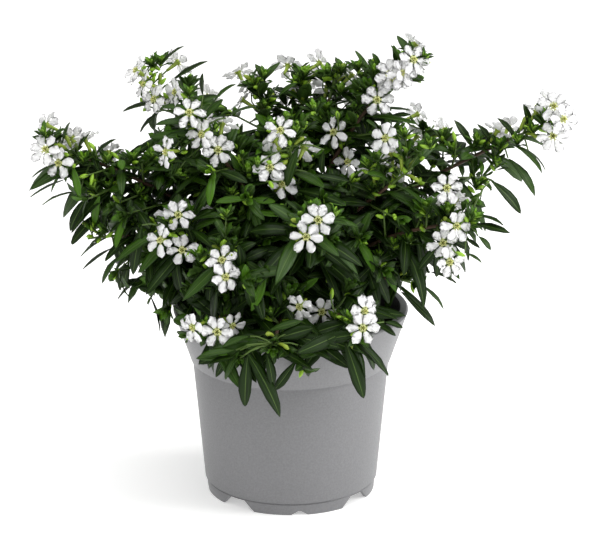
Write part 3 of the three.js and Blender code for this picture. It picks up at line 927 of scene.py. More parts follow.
# Leaves that stand out alone: the pixels of the foot and of the tip, and how far the leaf's face is
# turned to the camera, from 0 for edge-on to 1.
LEAVES_SEEN = (
    (158, 72, 184, 46, 0.15), (168, 84, 208, 61, 0.3), (160, 88, 118, 111, 0.05),
    (166, 103, 122, 112, 0.3), (168, 92, 145, 104, 0.5), (203, 96, 203, 73, 0.4),
    (212, 104, 236, 84, 0.3), (160, 112, 140, 133, 0.3), (62, 145, 70, 122, 0.3),
    (78, 150, 91, 131, 0.4), (92, 160, 116, 139, 0.3), (56, 163, 31, 178, 0.1),
    (66, 179, 29, 198, 0.15), (80, 192, 41, 206, 0.1), (88, 196, 70, 231, 0.7),
    (104, 210, 71, 245, 0.6), (110, 236, 80, 257, 0.2), (114, 247, 82, 270, 0.25),
    (120, 255, 102, 284, 0.4), (125, 262, 120, 291, 0.5), (142, 275, 117, 300, 0.25),
    (150, 270, 128, 303, 0.5), (150, 295, 160, 332, 0.2), (173, 285, 165, 337, 0.6),
    (122, 216, 118, 262, 0.8), (142, 225, 133, 275, 0.7), (226, 118, 257, 107, 0.2),
    (250, 122, 276, 112, 0.3), (380, 72, 372, 53, 0.5), (396, 66, 393, 45, 0.5),
    (409, 60, 409, 40, 0.5), (418, 60, 434, 54, 0.2), (350, 100, 388, 128, 0.3),
    (372, 92, 390, 130, 0.5), (388, 118, 411, 115, 0.4), (474, 150, 454, 120, 0.5),
    (496, 152, 477, 124, 0.4), (518, 142, 497, 118, 0.4), (531, 132, 523, 104, 0.5),
    (546, 120, 536, 103, 0.4), (528, 150, 546, 171, 0.1), (508, 158, 535, 196, 0.5),
    (490, 180, 521, 214, 0.6), (472, 224, 510, 233, 0.5), (476, 216, 504, 226, 0.3),
    (478, 236, 491, 250, 0.5), (464, 238, 480, 248, 0.4), (465, 253, 482, 263, 0.3),
    (430, 272, 457, 284, 0.3), (418, 284, 444, 310, 0.3), (400, 291, 435, 326, 0.5),
    (417, 276, 414, 290, 0.5), (404, 270, 386, 312, 0.6), (398, 282, 382, 328, 0.5),
    (384, 322, 403, 328, 0.5), (372, 322, 396, 336, 0.5), (248, 352, 245, 407, 0.8),
    (244, 348, 280, 417, 0.7), (266, 352, 273, 387, 0.7), (240, 350, 225, 380, 0.5),
    (344, 338, 364, 399, 0.8), (350, 336, 389, 377, 0.4), (346, 338, 378, 365, 0.4),
    (258, 342, 313, 370, 0.5), (236, 350, 199, 356, 0.5), (240, 358, 208, 364, 0.4),
    (298, 345, 331, 359, 0.5), (268, 331, 302, 321, 0.6), (250, 336, 222, 347, 0.5),
    (290, 334, 318, 347, 0.5), (276, 340, 300, 356, 0.6), (277, 98, 297, 83, 0.4),
    (268, 103, 241, 82, 0.5), (298, 98, 272, 88, 0.5), (308, 104, 338, 92, 0.4),
    (322, 75, 336, 97, 0.5), (332, 105, 300, 116, 0.5), (350, 106, 365, 146, 0.6),
    (324, 150, 322, 174, 0.6), (299, 146, 287, 187, 0.7), (312, 175, 352, 183, 0.5),
    (228, 150, 240, 176, 0.5), (384, 165, 412, 152, 0.4),
)
# Growing tips that stand out: the pixel of each and its lean to the right, in degrees.
TUFTS_SEEN = (
    (148, 57, -30), (161, 54, 5), (190, 86, 10), (42, 128, -10), (84, 153, 5), (107, 153, 0),
    (133, 151, 5), (152, 149, -5), (167, 152, 5), (207, 153, -5), (258, 158, 5), (248, 165, 0),
    (108, 180, -10), (92, 183, -20), (138, 187, 0), (145, 196, 10), (97, 228, -75), (163, 215, -30),
    (199, 249, 0), (226, 208, 0), (241, 209, 5), (270, 308, -10), (248, 78, -35), (264, 69, 5),
    (294, 76, -30), (305, 68, 10), (326, 66, -25), (342, 63, 5), (358, 60, 0), (376, 66, 10),
    (426, 51, 25), (296, 125, 0), (313, 102, -10), (327, 101, 5), (341, 84, 0), (338, 114, 0),
    (379, 90, 10), (405, 128, 0), (378, 151, 0), (366, 158, -15), (429, 137, -5), (453, 143, 5),
    (478, 134, 5), (500, 138, 0), (519, 134, 5), (534, 123, 5), (546, 112, 15), (499, 158, 15),
    (478, 178, 10), (448, 204, 0), (478, 213, 45), (340, 210, 40), (334, 311, 0), (350, 311, 10),
    (410, 234, 10), (394, 238, 0), (380, 249, 0), (232, 186, 0), (182, 170, 60), (206, 318, 0),
)
# Gaps that show the ground behind the crown: the middle and the radius of each.
SKY_SEEN = (
    (115, 95, 11), (120, 108, 11), (131, 97, 9), (128, 122, 12), (117, 139, 13), (134, 141, 9),
    (100, 134, 12), (84, 130, 9), (62, 191, 8), (78, 205, 6), (88, 238, 7), (96, 262, 8), (104, 270, 6),
    (140, 297, 8), (159, 304, 5), (174, 326, 6), (228, 72, 13), (246, 103, 9), (232, 104, 7),
    (250, 119, 8), (228, 127, 7), (290, 50, 11), (288, 82, 8), (323, 90, 7), (325, 50, 9), (384, 55, 7),
    (446, 62, 20), (443, 92, 18), (424, 98, 11), (404, 98, 9), (462, 112, 12), (430, 118, 7),
    (508, 121, 8), (512, 186, 6), (526, 168, 8), (503, 213, 9), (482, 258, 8), (431, 286, 7),
    (417, 327, 11), (407, 284, 6), (425, 165, 5), (405, 175, 7), (350, 168, 7), (323, 170, 7),
    (505, 173, 5), (497, 178, 5), (388, 158, 5), (207, 175, 4), (233, 158, 5), (300, 160, 5),
    (190, 198, 4),
)
# Gaps in the skirt that show the pot's wall, in the same measures.
WALL_SEEN = (
    (300, 386, 12), (318, 384, 12), (336, 376, 11), (326, 364, 6), (345, 405, 12), (222, 397, 12),
    (207, 382, 8), (378, 396, 10), (262, 420, 10), (300, 410, 12), (205, 400, 9), (292, 398, 6),
    (263, 398, 5), (236, 396, 4),
)
SKY, BARE_WALL = np.array(SKY_SEEN, float), np.array(WALL_SEEN, float)


def shows(points: Array, gaps: Array) -> bool:
    """Tells whether any of the points lies in one of the photo's gaps."""
    apart = np.linalg.norm(pixels(points)[:, None] - gaps[:, :2], axis=-1)
    return bool(np.any(apart < gaps[:, 2]))


def stem_radius(share: float) -> float:
    """Returns the stem's radius at a share of its height; it flares out at its foot."""
    flare = max(0.0, 1 - share / 0.3) ** 2 * (STEM_FLARE - STEM_RADIUS)
    return blend(STEM_RADIUS, STEM_TOP, share) + flare


class Spine:
    """A shoot's centre line, from inside the stem to the tip."""

    def __init__(self, shoot: Shoot, tier: float) -> None:
        """Draws the curve.

        Args:
            shoot: The shoot.
            tier: Its rank on the stem, from 0 for the lowest to 1.
        """
        tip = np.array(shoot.tip, float)
        share = blend(0.16, 0.94, tier)
        degrees = math.degrees(math.atan2(tip[1], tip[0]))
        foot = bearing(degrees) * (stem_radius(share) - BOUGH_BURIED)
        foot += (STEM_LEAN * share, 0, STEM_FOOT + STEM_HEIGHT * share)
        level = unit((tip - foot) * (1, 1, 0))
        reach = float(np.linalg.norm(tip - foot))
        climb = math.degrees(math.asin((tip[2] - foot[2]) / reach))
        start, end = math.radians(min(86, climb + BOUGH_STEEPER)), math.radians(shoot.rise)
        first, last = spoke((level, UP), start), spoke((level, UP), end)
        handles = (foot, foot + first * 0.36 * reach, tip - last * 0.34 * reach, tip)
        t = np.linspace(0, 1, 241)[:, None]
        weights = ((1 - t) ** 3, 3 * t * (1 - t) ** 2, 3 * t**2 * (1 - t), t**3)
        self.points = sum(weight * handle for weight, handle in zip(weights, handles))
        steps = np.linalg.norm(np.diff(self.points, axis=0), axis=1)
        self.marks = np.concatenate([[0.0], np.cumsum(steps)])
        self.length = float(self.marks[-1])
        self.aside = np.cross(level, UP)
        self.bare, self.end = shoot.bare, shoot.end

    def at(self, share: float | Array) -> Array:
        """Finds the point at a share of the length, with the leafy stretch cut to its end.

        Args:
            share: The share, or several.

        Returns:
            The point, or several.
        """
        share = np.asarray(share)
        leafy = self.bare + (share - self.bare) * (self.end - self.bare) / (1 - self.bare)
        mark = np.where(share > self.bare, leafy, share) * self.length
        return np.stack([np.interp(mark, self.marks, self.points[:, i]) for i in range(3)], -1)

    def tangent(self, share: float) -> Array:
        """Returns the direction at a share of the length."""
        low, high = max(0.0, share - 0.01), min(1.0, share + 0.01)
        return unit(self.at(high) - self.at(low))


def kept_free(centre: Array, to_camera: Array, share: float = 1.0) -> list[Array]:
    """Guards a thing that the photo shows, so that no leaf hides it or shades it.

    Args:
        centre: Its middle.
        to_camera: The way from it to the photo's camera.
        share: Its share of the room round a bloom.

    Returns:
        Two rows of a middle, a way from it, how far the way stays free and the share of the room.
    """
    ways = ((to_camera, SIGHT_FREE), (heading((to_camera, 0.5), (UP, 1.0)), LIGHT_FREE))
    return [np.array([*centre, *way, far, share]) for way, far in ways]


@dataclass
class Bloom:
    """A flower.

    Attributes:
        root: Where its stalk leaves the twig.
        centre: The middle of its face.
        facing: The way that it faces.
        roll: How far it is turned about that way, in degrees.
        seen: Whether the photo shows its face.
    """

    root: Array
    centre: Array
    facing: Array
    roll: float
    seen: bool = False

    def guards(self) -> list[Array]:
        """Guards its face, as kept_free does.

        Returns:
            One row or two.
        """
        if self.seen:
            return kept_free(self.centre, unit(CAMERA_PLACE - self.centre))
        return [np.array([*self.centre, *self.facing, FACE_FREE, 1.0])]


class Tone(Enum):
    """The tones of a leaf, each with the finishes of its blade, rib and underside; the old tone is also
    painted shade low in the crown.
    """

    OLD = (LEAF_OLD_AND_SHADED, RIB, UNDERSIDE)
    MID = (LEAF_MID, RIB, UNDERSIDE)
    FRESH = (LEAF_FRESH, RIB, UNDERSIDE)
    YOUNG = (LEAF_YOUNG, RIB_YOUNG, UNDERSIDE_YOUNG)
    YELLOW = (LEAF_YELLOW, RIB_YOUNG, LEAF_YELLOW)


class Rosette(Enum):
    """The rosettes: the least and greatest length of their outer leaves, and their pairs of leaves."""

    SHOOT_TIP = (13.0, 13.0, 6)
    TWIG_TIP = (11.0, 16.0, 5)
    AXIL = (7.0, 11.0, 4)
    BRACTS = (6.0, 9.0, 3)
    LOW_BRACTS = (11.0, 15.0, 2)
    SEEN_TUFT = (9.0, 12.5, 6)
    UNDER_TUFT = (12.0, 17.0, 2)


@dataclass(frozen=True)
class Axil:
    """A place on a twig where a leaf stands.

    Attributes:
        point: The place.
        along: The twig's direction there.
        out: The direction away from the twig.
    """

    point: Array
    along: Array
    out: Array


def outer_radius(height: float) -> float:
    """Returns the pot's outer radius at a height."""
    if height < COLLAR_HEIGHT:
        return blend(BODY_FOOT_RADIUS, COLLAR_RADIUS - COLLAR_STEP, max(0, height) / COLLAR_HEIGHT)
    return blend(COLLAR_RADIUS, RIM_RADIUS, (height - COLLAR_HEIGHT) / (POT_HEIGHT - COLLAR_HEIGHT))


def outside_pot(point: Array, seen: bool = False) -> bool:
    """Tells whether a point is clear of the pot's wall, the soil, the ground and the open rim.

    Args:
        point: The point.
        seen: Whether the photo shows what lies there, so that it may hang over the open rim.

    Returns:
        Whether it is.
    """
    radius, height = math.hypot(point[0], point[1]), point[2]
    beside_rim = point[0] > OPEN_RIM_START and point[1] < OPEN_RIM_BACK
    if not seen and beside_rim and radius < OPEN_RIM_RADIUS and height < OPEN_RIM_TOP:
        return False
    if height > POT_HEIGHT + POT_ROOM or height < 0:
        return height > 0
    in_mouth = height > SOIL_TOP + SOIL_MOUND + 1 and radius < outer_radius(height) - LIP_WIDTH - 1
    return in_mouth or radius > outer_radius(height) + POT_ROOM


def below_crown(point: Array) -> bool:
    """Tells whether a point is under the crown's rising underside, which opens only over the front.

    Args:
        point: The point.

    Returns:
        Whether it is.
    """
    radius = math.hypot(point[0], point[1])
    is_beside = abs(point[0]) > SKIRT_HALF or point[1] > 0
    foot, slope = RIGHT_UNDERSIDE if point[0] > 0 else LEFT_UNDERSIDE
    return is_beside and point[2] < foot + slope * (radius - COLLAR_RADIUS)


def has_room(tip: Array) -> bool:
    """Tells whether a twig may end at a point."""
    return not (below_crown(tip) or shows(tip[None], SKY)) and outside_pot(tip)


@dataclass
class Crown:
    """The shrub above its stem, grown shoot by shoot from the solids' rule.

    Attributes:
        node_spacing: The distance between two pairs of leaves on a main stem.
        side_spacing: The same on a side twig.
        leaf_length: The length of a full leaf.
        leaf_width: Its width.
        side_old: The length of a side twig near the bough.
        side_young: The same near the tip.
        bare_share: The share of the bare bough that has no leaves at all.
        bloom_reach: How far a bloom's middle stands from its twig.
        bloom_room: How far leaves keep from a guarded way.
        seen_room: The same for seen leaves.
        shy_share: The share of the leaves that never hang deep.
        tuft_reach: How far a seen tuft stands before its shoot.
        tuft_drop: How far its foot is below its middle.
        tuft_share: Its share of the room round a bloom.
        tuft_stalk: How long its twiglet is where it bears a second rosette.
        leaves: The full blades of each tone.
        tips: The small blades of each tone.
        brown: The woody stretches of the main stems.
        green: Their green stretches, and the side twigs.
        fine: The thin stalks.
        buds: The round buds.
        tubes: The long closed flower tubes.
        blooms: The open flowers.
        spines: The centre lines by the names of their shoots.
        guards: The ways that leaves keep free, as kept_free gives them.
    """

    node_spacing: float = 6.1
    side_spacing: float = 5.5
    leaf_length: float = 33.0
    leaf_width: float = 7.0
    side_old: float = 32.0
    side_young: float = 13.0
    bare_share: float = 0.62
    bloom_reach: float = 13.0
    bloom_room: float = 7.5
    seen_room: float = 2.0
    shy_share: float = 0.9
    tuft_reach: float = 6.0
    tuft_drop: float = 4.5
    tuft_share: float = 0.6
    tuft_stalk: float = 9.0
    leaves: dict[Tone, list[Blade]] = field(default_factory=lambda: {tone: [] for tone in Tone})
    tips: dict[Tone, list[Blade]] = field(default_factory=lambda: {tone: [] for tone in Tone})
    brown: list[Limb] = field(default_factory=list)
    green: list[Limb] = field(default_factory=list)
    fine: list[Limb] = field(default_factory=list)
    buds: list[Limb] = field(default_factory=list)
    tubes: list[Limb] = field(default_factory=list)
    blooms: list[Bloom] = field(default_factory=list)
    spines: dict[str, Spine] = field(default_factory=dict)
    guards: Array = field(default_factory=lambda: np.zeros((0, 8)))

    def grow(self) -> None:
        """Grows the blooms, leaves and tufts that the photo shows, and then every shoot round them."""
        order = sorted(SHOOTS, key=lambda shoot: shoot.climb)
        for shoot in SHOOTS:
            self.spines[shoot.name] = Spine(shoot, order.index(shoot) / (len(order) - 1))
        self.place_seen_blooms()
        for index, shoot in enumerate(SHOOTS):
            self.place_rear_blooms(shoot, Draw(FIRST_SEED + SEED_STEP * index + 7))
        self.guards = np.array([guard for bloom in self.blooms for guard in bloom.guards()])
        draw = Draw(FIRST_SEED - 1)
        for bloom in self.blooms:
            self.bracts(bloom, draw)
        self.place_seen_leaves()
        self.place_seen_tufts()
        for index, shoot in enumerate(SHOOTS):
            self.grow_shoot(shoot, Draw(FIRST_SEED + SEED_STEP * index))

    def grow_shoot(self, shoot: Shoot, draw: Draw) -> None:
        """Grows one shoot's stem, leaves, side twigs and rosettes.

        Args:
            shoot: The shoot.
            draw: Its seeded draw.
        """
        spine = self.spines[shoot.name]
        self.main_stem(shoot, spine)
        count = max(3, round(spine.length * (1 - shoot.bare) / self.node_spacing))
        inner = round(spine.length * shoot.bare * (1 - self.bare_share) / self.node_spacing)
        for k in range(-inner, count):
            place = (k + 0.55) / count
            youth = max(0, place)
            share = blend(shoot.bare, 1, place)
            point, along = spine.at(share), spine.tangent(share)
            sides = across(along, spine.aside)
            turn = math.radians(90 * k + 40 + 26 * (draw() - 0.5))
            for half in (1, -1):
                axil = Axil(point, along, spoke(sides, turn, half))
                size = blend(1, shoot.tip_size, youth**2) * draw.between(0.82, 1.18)
                size *= 1 + 0.1 * shoot.hang
                hang = shoot.hang * draw.between(0.3, 0.85) * (1.7 if draw() > 0.85 else 1.0)
                tone = self.tone_of(place, draw(), point[2])
                self.leaf(axil, size, hang, youth, tone, draw)
                bears = shoot.habit is Habit.BUSHY or (k + (half < 0)) % 2 == 0
                if place < shoot.forks and bears and axil.out[2] > -0.75:
                    self.side_twig(shoot, axil, youth, draw)
                elif axil.out[2] > -0.45:
                    self.axil_shoot(axil, youth, draw)
        self.rosette(Rosette.SHOOT_TIP, spine.at(0.97), spine.tangent(1.0), spine.aside, draw)
        self.tube_buds(spine, 3 if shoot.blooms else 1, draw)

    def main_stem(self, shoot: Shoot, spine: Spine) -> None:
        """Adds the leafy stretch of a shoot's stem, brown at first and then green."""
        turn = blend(shoot.bare, 1, 0.78)
        for start, end, radii, limbs in (
            (shoot.bare - 0.01, turn, BROWN_STEM, self.brown),
            (turn - 0.01, 1.0, GREEN_STEM, self.green),
        ):
            limbs.append(Limb(spine.at(np.linspace(start, end, MAIN_STEPS + 1)), radii, spine.aside))

    @staticmethod
    def tone_of(youth: float, chance: float, height: float) -> Tone:
        """Returns a leaf's tone by its place and chance; the dark old tone comes more often lower in the
        crown, as painted shade.
        """
        shade = min(1.0, max(0.0, (170 - height) / 50))
        return Tone.OLD if youth + 0.6 * (chance - 0.5) < blend(0.42, 1.0, shade) else Tone.MID

    def leaf(self, axil: Axil, size: float, hang: float, youth: float, tone: Tone, draw: Draw) -> None:
        """Adds a leaf where it stays clear of the pot and the blooms, turned a little if it must.

        Args:
            axil: Where it stands.
            size: Its size as a share of a full leaf.
            hang: How far it hangs.
            youth: Its place on the twig, from 0 to 1.
            tone: Its tone, by age and by painted shade low in the crown.
            draw: The seeded draw.
        """
        point, along, out = axil.point, axil.along, axil.out
        is_free = math.hypot(point[0], point[1]) > RIM_RADIUS
        is_free = is_free and (draw() < 0.4 or point[2] > POT_HEIGHT + 30)
        sag = hang * (1.0 if is_free else min(1.0, max(0.25, (point[2] - POT_HEIGHT) / 55)))
        lean = 1 - 1.15 * out[2] * math.sqrt(1 - min(1.0, along[2] ** 2))
        droop, stretch = 0.6, 0.25
        if along[2] < 0:
            lean, droop, stretch = 0.35 * lean, 0.5, 0.15
        forward = heading((along, blend(0.3, 0.8, youth) * lean), (out, 1), (UP, 0.12 - droop * sag))
        toward_edge = np.array([0.0, math.copysign(1.0, point[1] - 20), 0.0])
        top = heading((along, 0.45), (UP, 0.9), (toward_edge, 0.45))
        length = self.leaf_length * size * (1 - 0.5 * max(0.0, out[2]) + stretch * max(0.0, -out[2]))
        blade = Blade(
            point, forward, top, length,
            width=self.leaf_width * (0.35 + 0.65 * size) * draw.between(0.88, 1.12),
            arch=math.radians(draw.between(8, 50) + 20 * sag),
            fold=draw.between(0.12, 0.4),
            ripple=draw.between(0.02, 0.09),
            phase=draw(),
            sway=draw.between(-0.07, 0.07),
        )
        for degrees in (0, 26, -26, 50, -50):
            blade.forward, blade.top = turned(forward, along, degrees), turned(top, along, degrees)
            if self.is_clear(blade):
                self.leaves[tone].append(blade)
                return

    def is_clear(self, blade: Blade, seen: bool = False) -> bool:
        """Tells whether a blade is clear of the pot, the crown's gaps and what is guarded.

        Args:
            blade: The blade.
            seen: Whether the photo shows it, so that it may hang low or stand in the open.

        Returns:
            Whether it is.
        """
        points = np.array([blade.midline(share) for share in np.linspace(0.125, 1, 8)])
        tip = points[-1]
        if not np.all((tip > REACH[0]) & (tip < REACH[1])):
            return False
        hangs_deep = tip[2] < DEEP_TIP and blade.phase < self.shy_share
        in_gap = shows(points, SKY) or shows(points[points[:, 1] < 0], BARE_WALL)
        if not seen and (hangs_deep or below_crown(tip) or in_gap):
            return False
        if not all(outside_pot(point, seen) for point in points):
            return False
        room = (self.seen_room if seen else self.bloom_room) * self.guards[:, 7:]
        centres, ways, reaches = self.guards[:, None, :3], self.guards[:, None, 3:6], self.guards[:, 6:7]
        away = points[None] - centres
        depth = (away * ways).sum(-1)
        aside = np.linalg.norm(away - depth[..., None] * ways, axis=-1)
        return not np.any((depth > -2.5) & (depth < reaches) & (aside < room))

    def side_twig(self, shoot: Shoot, axil: Axil, youth: float, draw: Draw) -> None:
        """Grows a side twig with paired leaves and a rosette at its tip.

        Args:
            shoot: The shoot that it belongs to.
            axil: Where it leaves the stem.
            youth: Its place on the shoot, from 0 to 1.
            draw: The seeded draw.
        """
        along, out = axil.along, axil.out
        full = blend(self.side_old, self.side_young, youth) * (1 - 0.5 * max(0.0, out[2]))
        full *= 1 + 0.25 * max(0.0, -out[2])
        length = full * draw.between(0.75, 1.25)
        first = heading((along, 0.55), (out, 0.9), (UP, 0.15))
        with_stem, away_from_it, upwards = (0.25, 0.45, 0.8) if out[2] > -0.2 else (0.5, 0.7, 0.1)
        last = heading((along, with_stem), (out, away_from_it), (UP, upwards))
        middle = axil.point + first * 0.5 * length
        tip = middle + last * 0.5 * length
        if not (has_room(tip) and outside_pot(middle)):
            return
        line = rounded((axil.point, middle, tip), SIDE_STEPS)
        aside = unit(np.cross(along, out))
        self.green.append(Limb(rounded((axil.point, middle, tip), MAIN_STEPS), SIDE_TWIG, aside))
        pairs = max(1, int(length // self.side_spacing))
        for k in range(pairs):
            at = (k + 0.75) / (pairs + 0.35)
            spot = line[round(at * SIDE_STEPS)]
            heads = heading((first, 1 - at), (last, at))
            sides = across(heads, aside)
            turn = math.radians(90 * k + 50 * draw())
            for half in (1, -1):
                size = blend(0.88, 0.42, at) * draw.between(0.85, 1.15)
                chance = draw()
                tone = self.tone_of(0.45 * youth + 0.65 * at, chance, spot[2])
                if k == 0 and chance > 0.985:
                    tone = Tone.YELLOW
                elif at > 0.7 and chance > (0.5 if spot[2] > LOW_CROWN + 10 else 0.7):
                    tone = Tone.FRESH
                place = Axil(spot, heads, spoke(sides, turn, half))
                self.leaf(place, size, shoot.hang * 0.6, 0.5 * youth + 0.5 * at, tone, draw)
        self.rosette(Rosette.TWIG_TIP, tip, last, aside, draw)

    def axil_shoot(self, axil: Axil, youth: float, draw: Draw) -> None:
        """Grows a short upright shoot in an axil: a bare stalk and a rosette.

        Args:
            axil: Where it leaves the stem.
            youth: Its place on the shoot, from 0 to 1.
            draw: The seeded draw.
        """
        if draw() < (0.45 if axil.point[2] > LOW_CROWN else 0.85):
            return
        length = draw.between(5, 13) * (1 - 0.3 * youth)
        last = heading((axil.along, 0.35), (axil.out, 0.6), (UP, 0.75))
        tip = axil.point + last * length
        if not has_room(tip):
            return
        aside = unit(np.cross(axil.along, axil.out))
        bend = axil.point + heading((axil.out, 1), (last, 1)) * 0.5 * length
        self.fine.append(Limb(rounded((axil.point, bend, tip), FINE_STEPS), AXIL_STALK, aside))
        self.rosette(Rosette.AXIL, tip, last, aside, draw)

    def rosette(self, kind: Rosette, tip: Array, along: Array, aside: Array, draw: Draw) -> None:
        """Adds crossed pairs of small leaves and a few buds at a growing tip.

        Args:
            kind: Which rosette it is.
            tip: The tip.
            along: The way that it grows.
            aside: A direction across it.
            draw: The seeded draw.
        """
        least, most, pairs = kind.value
        size = most if least == most else draw.between(least, most)
        seen = kind is Rosette.SEEN_TUFT
        sides = across(along, aside)
        start = 90 * draw()
        for k in range(pairs):
            inward = (k + 0.4) / pairs
            turn = math.radians(start + 90 * k)
            for half in (1, -1):
                out = spoke(sides, turn, half)
                forward = heading((along, blend(1.3 if seen else 0.9, 3.4, inward)), (out, 1))
                blade = Blade(
                    tip - along * blend(0.35 * size, 0.2, inward), forward, heading((along, 1), (out, -1)),
                    length=size * blend(1.0, 0.4, inward) * draw.between(0.85, 1.15),
                    width=size * blend(0.25 if seen else 0.34, 0.2 if seen else 0.24, inward),
                    arch=math.radians(blend(50, -8, inward)),
                    fold=0.45,
                    ripple=0.03,
                )
                age = inward + 0.4 * (draw() - 0.5)
                ripe = 0.66 if seen else 0.85 if tip[2] > LOW_CROWN + 20 else 1.1
                tone = Tone.YOUNG if age > ripe else Tone.FRESH if age > 0.5 * ripe else Tone.MID
                if self.is_clear(blade, seen):
                    self.tips[tone].append(blade)
        for _ in range(int(draw.between(0.4, 3.0))):
            way = heading((along, 0.7), (spoke(sides, draw.between(0, 2 * math.pi)), 1))
            base = tip - along * draw.between(1, 5)
            end = base + way * draw.between(3.2, 6.5)
            line = rounded((base, 0.5 * (base + end), end), BUD_STEPS)
            self.buds.append(Limb(line, BUD_BODY, sides[0]))

    def tube_buds(self, spine: Spine, count: int, draw: Draw) -> None:
        """Adds closed flower tubes at a shoot's tip.

        Args:
            spine: The shoot's centre line.
            count: How many tubes.
            draw: The seeded draw.
        """
        for k in range(count):
            share = draw.between(0.84, 0.97)
            root, along = spine.at(share), spine.tangent(share)
            side, over = across(along, spine.aside)
            turn = 2.4 * k + draw.between(0, 1.5)
            out = heading((side, math.cos(turn)), (over, math.sin(turn)), (UP, 0.3))
            way = heading((along, 0.8), (out, 1))
            base = root + way * 3.0
            end = base + heading((way, 1), (UP, -0.25)) * draw.between(6.5, 9.0)
            stalk = rounded((root, 0.5 * (root + base), base), FINE_STEPS)
            tube = rounded((base, 0.5 * (base + end) + UP * 0.5, end), BUD_STEPS)
            self.fine.append(Limb(stalk, BLOOM_STALK, side))
            self.tubes.append(Limb(tube, BUD_BODY, side))

    def bracts(self, bloom: Bloom, draw: Draw) -> None:
        """Adds crossed tufts of small leaves and buds along a bloom's stalk.

        Args:
            bloom: The bloom.
            draw: The seeded draw.
        """
        base = bloom.centre - CALYX_LENGTH * bloom.facing
        along = unit(base - bloom.root + 0.01)
        aside = unit(np.cross(along, bloom.facing + (0.1, 0.2, 0.3)))
        self.rosette(Rosette.BRACTS, blend(bloom.root, base, 0.6), along, aside, draw)
        if np.linalg.norm(base - bloom.root) > 9:
            self.rosette(Rosette.LOW_BRACTS, blend(bloom.root, base, 0.25), along, aside, draw)

    def seat(self, ray: Array, bias: float = 0.3) -> tuple[Array, float]:
        """Finds the place on the shoots nearest a line of sight.

        Args:
            ray: The line of sight from the photo's camera.
            bias: How much a place further back counts as further off.

        Returns:
            The place and its depth along the line.
        """
        best = None
        for spine in self.spines.values():
            points = spine.at(np.linspace(0.5, 0.97, 48))
            away = points - CAMERA_PLACE
            depth = away @ ray
            cost = np.linalg.norm(away - depth[:, None] * ray, axis=1) + bias * points[:, 1]
            k = int(np.argmin(cost))
            if best is None or cost[k] < best[0]:
                best = (cost[k], points[k], depth[k])
        return best[1], best[2]

    def twiglet(self, root: Array, tip: Array) -> None:
        """Adds a thin twig, bent a little upwards, from a shoot to a leaf or a tuft."""
        bend = 0.5 * (root + tip) + UP * 0.12 * np.linalg.norm(tip - root)
        aside = unit(np.cross(tip - root + 1e-3, UP + (0.1, 0.2, 0)))
        self.fine.append(Limb(rounded((root, bend, tip), FINE_STEPS), TWIGLET, aside))

    def place_seen_leaves(self) -> None:
        """Grows the leaves that the photo shows alone, each on a twiglet of its own."""
        draw = Draw(FIRST_SEED + 3)
        for x, y, tip_x, tip_y, face in LEAVES_SEEN:
            root, depth = self.seat(sight(x, y))
            foot = CAMERA_PLACE + sight(x, y) * depth
            way = sight(tip_x, tip_y)
            chord = CAMERA_PLACE + way * (foot[1] - CAMERA_PLACE[1]) / way[1] - foot
            span = float(np.linalg.norm(chord))
            along, to_camera = chord / span, unit(CAMERA_PLACE - foot)
            over = unit(np.cross(along, to_camera))
            top = heading((over * math.copysign(1, over[2]), 1 - face), (to_camera, face))
            top = unit(top - along * (top @ along))
            arch = math.radians(draw.between(14, 40))
            blade = Blade(
                foot, spoke((along, top), arch / 2), top,
                length=span * (arch / 2) / math.sin(arch / 2),
                width=min(1.1 * self.leaf_width, 2.6 + 0.15 * span),
                arch=arch,
                fold=draw.between(0.12, 0.4),
                ripple=draw.between(0.02, 0.09),
                phase=draw(),
            )
            if self.is_clear(blade, seen=True):
                self.leaves[Tone.OLD if draw() < 0.6 else Tone.MID].append(blade)
                self.twiglet(root, foot)

    def place_seen_tufts(self) -> None:
        """Grows the tufts that the photo shows, each on a twiglet of its own."""
        draw = Draw(FIRST_SEED + 5)
        guards = []
        for x, y, lean in TUFTS_SEEN:
            ray = sight(x, y)
            root, depth = self.seat(ray)
            turn = math.radians(lean)
            along = heading((UP, math.cos(turn)), (RIGHTWARD, math.sin(turn)), (AHEAD, -0.35))
            middle = CAMERA_PLACE + ray * (depth - self.tuft_reach)
            tip = middle - along * self.tuft_drop
            aside = unit(np.cross(along, AHEAD))
            self.twiglet(root, tip)
            self.rosette(Rosette.SEEN_TUFT, tip, along, aside, draw)
            if np.linalg.norm(tip - root) > self.tuft_stalk:
                self.rosette(Rosette.UNDER_TUFT, blend(root, tip, 0.55), along, aside, draw)
            guards += kept_free(middle, -ray, self.tuft_share)
        self.guards = np.concatenate([self.guards, guards])

    def place_seen_blooms(self) -> None:
        """Seats each bloom of the photo at the nearest shoot, before it or behind it."""
        draw = Draw(FIRST_SEED)
        for blooms, is_behind in ((BLOOMS_SEEN, False), (BLOOMS_BEHIND, True)):
            bias, reach = (-0.3, 0.5) if is_behind else (0.3, -0.75)
            for x, y, aside in blooms:
                ray = sight(x, y)
                root, depth = self.seat(ray, bias)
                centre = CAMERA_PLACE + ray * (depth + reach * self.bloom_reach)
                sway = np.array([1.3 * aside + draw.between(-0.3, 0.3), 0.0, draw.between(-0.5, 0.35)])
                outward = unit(centre - CROWN_HEART)
                ahead_share = -0.3 if is_behind else 1.05 - abs(aside)
                facing = heading((-ray, ahead_share), (outward, 0.45), (sway, 0.8))
                self.blooms.append(Bloom(root, centre, facing, draw.between(-20, 20), not is_behind))

